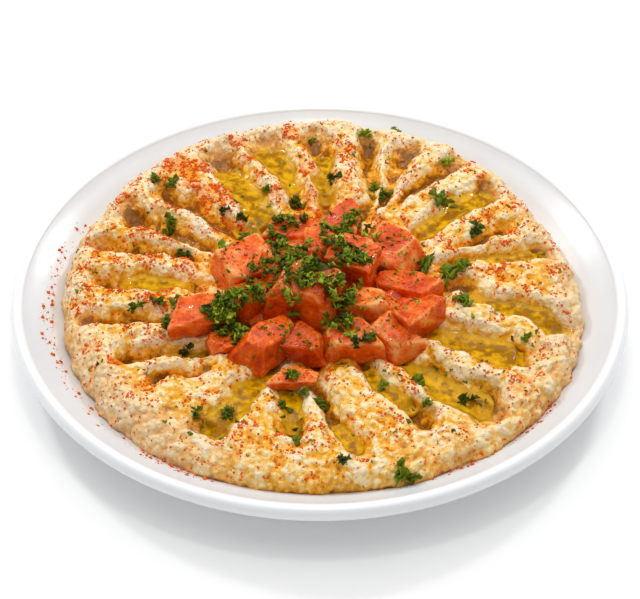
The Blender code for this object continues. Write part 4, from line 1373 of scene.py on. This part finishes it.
# Paprika

def mesh_spots(name, weigh, count, rng):
    """Places and normals at vertices of a piece, picked by weight."""
    mesh = bpy.data.objects[name].data
    places, normals = places_of(mesh), places_of(mesh, "normal")
    weights = weigh(mesh, places, normals)
    chosen = rng.choice(len(places), size=count, p=weights / weights.sum())
    jitter = rng.uniform(-0.4, 0.4, (count, 3)) * MM
    jitter -= normals[chosen] * np.sum(jitter * normals[chosen], axis=1, keepdims=True)
    return places[chosen] + jitter, normals[chosen]


class MEZZE_OT_paprika(bpy.types.Operator):
    """Sprinkle paprika over the dip, the tomato and the plate"""
    bl_idname = "mezze.paprika"
    bl_label = "Paprika"

    def execute(self, context):
        settings = context.scene.mezze_paprika
        finish = paprika_material(settings)
        for name, count, sides, grain, focus in (
                ("paprika_coarse", settings.coarse, 4, COARSE_GRAIN, COARSE_FOCUS),
                ("paprika_fine", settings.fine, 3, FINE_GRAIN, FINE_FOCUS)):
            shape = bmesh.new()
            bmesh.ops.create_uvsphere(shape, u_segments=sides, v_segments=2, radius=0.5)
            self.sprinkle(name, template_of(shape), count, grain, focus, finish)
        return {"FINISHED"}

    def sprinkle(self, name, template, count, grain, focus, finish):
        """One piece of many grains, each a flattened and turned copy of the template."""
        rng = np.random.default_rng(SEEDS[name])
        on_dip, on_plate = int(count * DIP_GRAINS), int(count * PLATE_GRAINS)
        on_tomato = count - on_dip - on_plate
        groups = [mesh_spots("baba_ganoush_spread", self.dip_weight(focus), on_dip, rng),
                  self.plate_spots(on_plate, rng)]
        dice = [o.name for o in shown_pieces() if o.name.startswith("diced_tomato")]
        for die in dice:
            groups.append(mesh_spots(die, self.up_weight, on_tomato // len(dice), rng))
        places, normals = (np.concatenate(rows) for rows in zip(*groups))
        total = len(places)
        size = rng.uniform(*grain, total) * MM
        size[on_dip:on_dip + on_plate] *= PLATE_GRAIN_GROWTH
        sizes = size[:, None] * rng.uniform(0.6, 1.3, (total, 3)) * np.array([1, 1, 0.6])
        turns = frames(normals, rng.uniform(0, math.tau, total), rng, 0.3)
        shades = np.clip(rng.normal(0.6, 0.25, total), 0, 1)
        places = places + normals * size[:, None] * 0.1
        mesh = joined_copies(name, [template], places, turns, sizes, shades, rng)
        new_piece(name, mesh, finish)

    @staticmethod
    def dip_weight(focus):
        """What weighs the dip's points: its spiced zones, and small clusters in them."""
        def weigh(mesh, places, normals):
            gathered = 0.06 + smooth_step(noise_at(places, 2.6 * MM, 91.0), -0.05, 0.3)
            return (read_attribute(mesh, "spice") + 0.02) ** focus * gathered * (normals[:, 2] > -0.2)
        return weigh

    @staticmethod
    def up_weight(mesh, places, normals):
        return np.clip(normals[:, 2], 0, 1) ** 2 + 1e-6

    @staticmethod
    def plate_spots(count, rng):
        """Places and normals on the flange, in its zones."""
        rows = []
        for _ in range(count):
            middle, half, inner, outer = GRAIN_ZONES[rng.integers(len(GRAIN_ZONES))]
            bearing = math.radians(middle + half * rng.uniform(-1, 1))
            radius = (inner + (outer - inner) * rng.random() ** 1.6) * MM
            rows.append((radius * math.cos(bearing), radius * math.sin(bearing), radius, bearing))
        x, y, radius, bearing = np.array(rows).T
        lean = np.clip((radius - WELL_RADIUS) / FLANGE_BEND, 0, math.sin(FLANGE_SLOPE))
        normals = np.stack([-lean * np.cos(bearing), -lean * np.sin(bearing), np.sqrt(1 - lean ** 2)], axis=1)
        return np.stack([x, y, plate_top(radius)], axis=1), normals


# Stage

class MEZZE_OT_stage(bpy.types.Operator):
    """Set up the floor, the lights and the camera"""
    bl_idname = "mezze.stage"
    bl_label = "Stage"

    def execute(self, context):
        settings = context.scene.mezze_stage
        scene = context.scene
        scene.view_settings.view_transform = "Standard"
        shape = bmesh.new()
        bmesh.ops.create_grid(shape, x_segments=1, y_segments=1, size=6)
        floor = bpy.data.objects.new("floor", mesh_of(shape, "floor"))
        scene.collection.objects.link(floor)
        made, tree, shader = new_material("pale_floor", Roughness=0.7, Specular_IOR_Level=0.2)
        tone = effect(tree, "mottle", {"Light": solid(settings.floor), "Dark": darker(settings.floor, 0.985),
                                       "Size": 0.3})
        tree.links.new(tone, shader.inputs["Base Color"])
        shader.inputs["Emission Color"].default_value = (1, 1, 1, 1)
        shader.inputs["Emission Strength"].default_value = settings.glow
        floor.data.materials.append(made)
        floor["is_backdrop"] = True
        world = bpy.data.worlds.new("studio")
        world.use_nodes = True
        background = world.node_tree.nodes["Background"]
        background.inputs["Color"].default_value = (1, 1, 1, 1)
        background.inputs["Strength"].default_value = settings.sky
        scene.world = world
        for name, (setting, place, size) in LIGHTS.items():
            self.area_light(name, getattr(settings, setting), place, size)
        self.camera(scene)
        return {"FINISHED"}

    def area_light(self, name, power, place, size):
        lamp = bpy.data.lights.new(name, "AREA")
        lamp.shape = "RECTANGLE"
        lamp.size, lamp.size_y = size
        lamp.energy = power
        light = bpy.data.objects.new(name, lamp)
        light.location = place
        light.rotation_euler = (-Vector(place)).to_track_quat("-Z", "Y").to_euler()
        bpy.context.scene.collection.objects.link(light)

    def camera(self, scene):
        lens = bpy.data.cameras.new("camera")
        lens.lens = CAMERA_LENS
        camera = bpy.data.objects.new("camera", lens)
        away = Vector((0, -math.cos(CAMERA_ELEVATION), math.sin(CAMERA_ELEVATION)))
        camera.location = CAMERA_TARGET + CAMERA_DISTANCE * away
        camera.rotation_euler = (math.pi / 2 - CAMERA_ELEVATION, 0, 0)
        scene.collection.objects.link(camera)
        scene.camera = camera


SETTINGS = {
    "mezze_plate": PlateSettings, "mezze_dip": DipSettings, "mezze_oil": OilSettings,
    "mezze_tomato": TomatoSettings, "mezze_parsley": ParsleySettings, "mezze_paprika": PaprikaSettings,
    "mezze_stage": StageSettings,
}
OPERATORS = (MEZZE_OT_plate, MEZZE_OT_dip, MEZZE_OT_tomato, MEZZE_OT_oil, MEZZE_OT_parsley, MEZZE_OT_paprika,
             MEZZE_OT_stage)


class MEZZE_PT_panel(bpy.types.Panel):
    """Lists the settings and the pieces"""
    bl_idname = "MEZZE_PT_panel"
    bl_label = "Baba Ganoush Plate"
    bl_space_type = "VIEW_3D"
    bl_region_type = "UI"
    bl_category = "Baba Ganoush"

    def draw(self, context):
        for operator in OPERATORS:
            self.layout.operator(operator.bl_idname)
        for name, group in SETTINGS.items():
            box = self.layout.box()
            for title in group.__annotations__:
                box.prop(getattr(context.scene, name), title)


CLASSES = (*SETTINGS.values(), *OPERATORS, MEZZE_PT_panel)


def register():
    for cls in CLASSES:
        bpy.utils.register_class(cls)
    for name, group in SETTINGS.items():
        setattr(bpy.types.Scene, name, PointerProperty(type=group))


def unregister():
    for name in SETTINGS:
        delattr(bpy.types.Scene, name)
    for cls in reversed(CLASSES):
        bpy.utils.unregister_class(cls)


def main():
    register()
    bpy.ops.mezze.plate()
    bpy.ops.mezze.dip()
    bpy.ops.mezze.tomato()
    bpy.ops.mezze.oil()
    bpy.ops.mezze.parsley()
    bpy.ops.mezze.paprika()
    bpy.ops.mezze.stage()


if __name__ == "__main__":
    main()
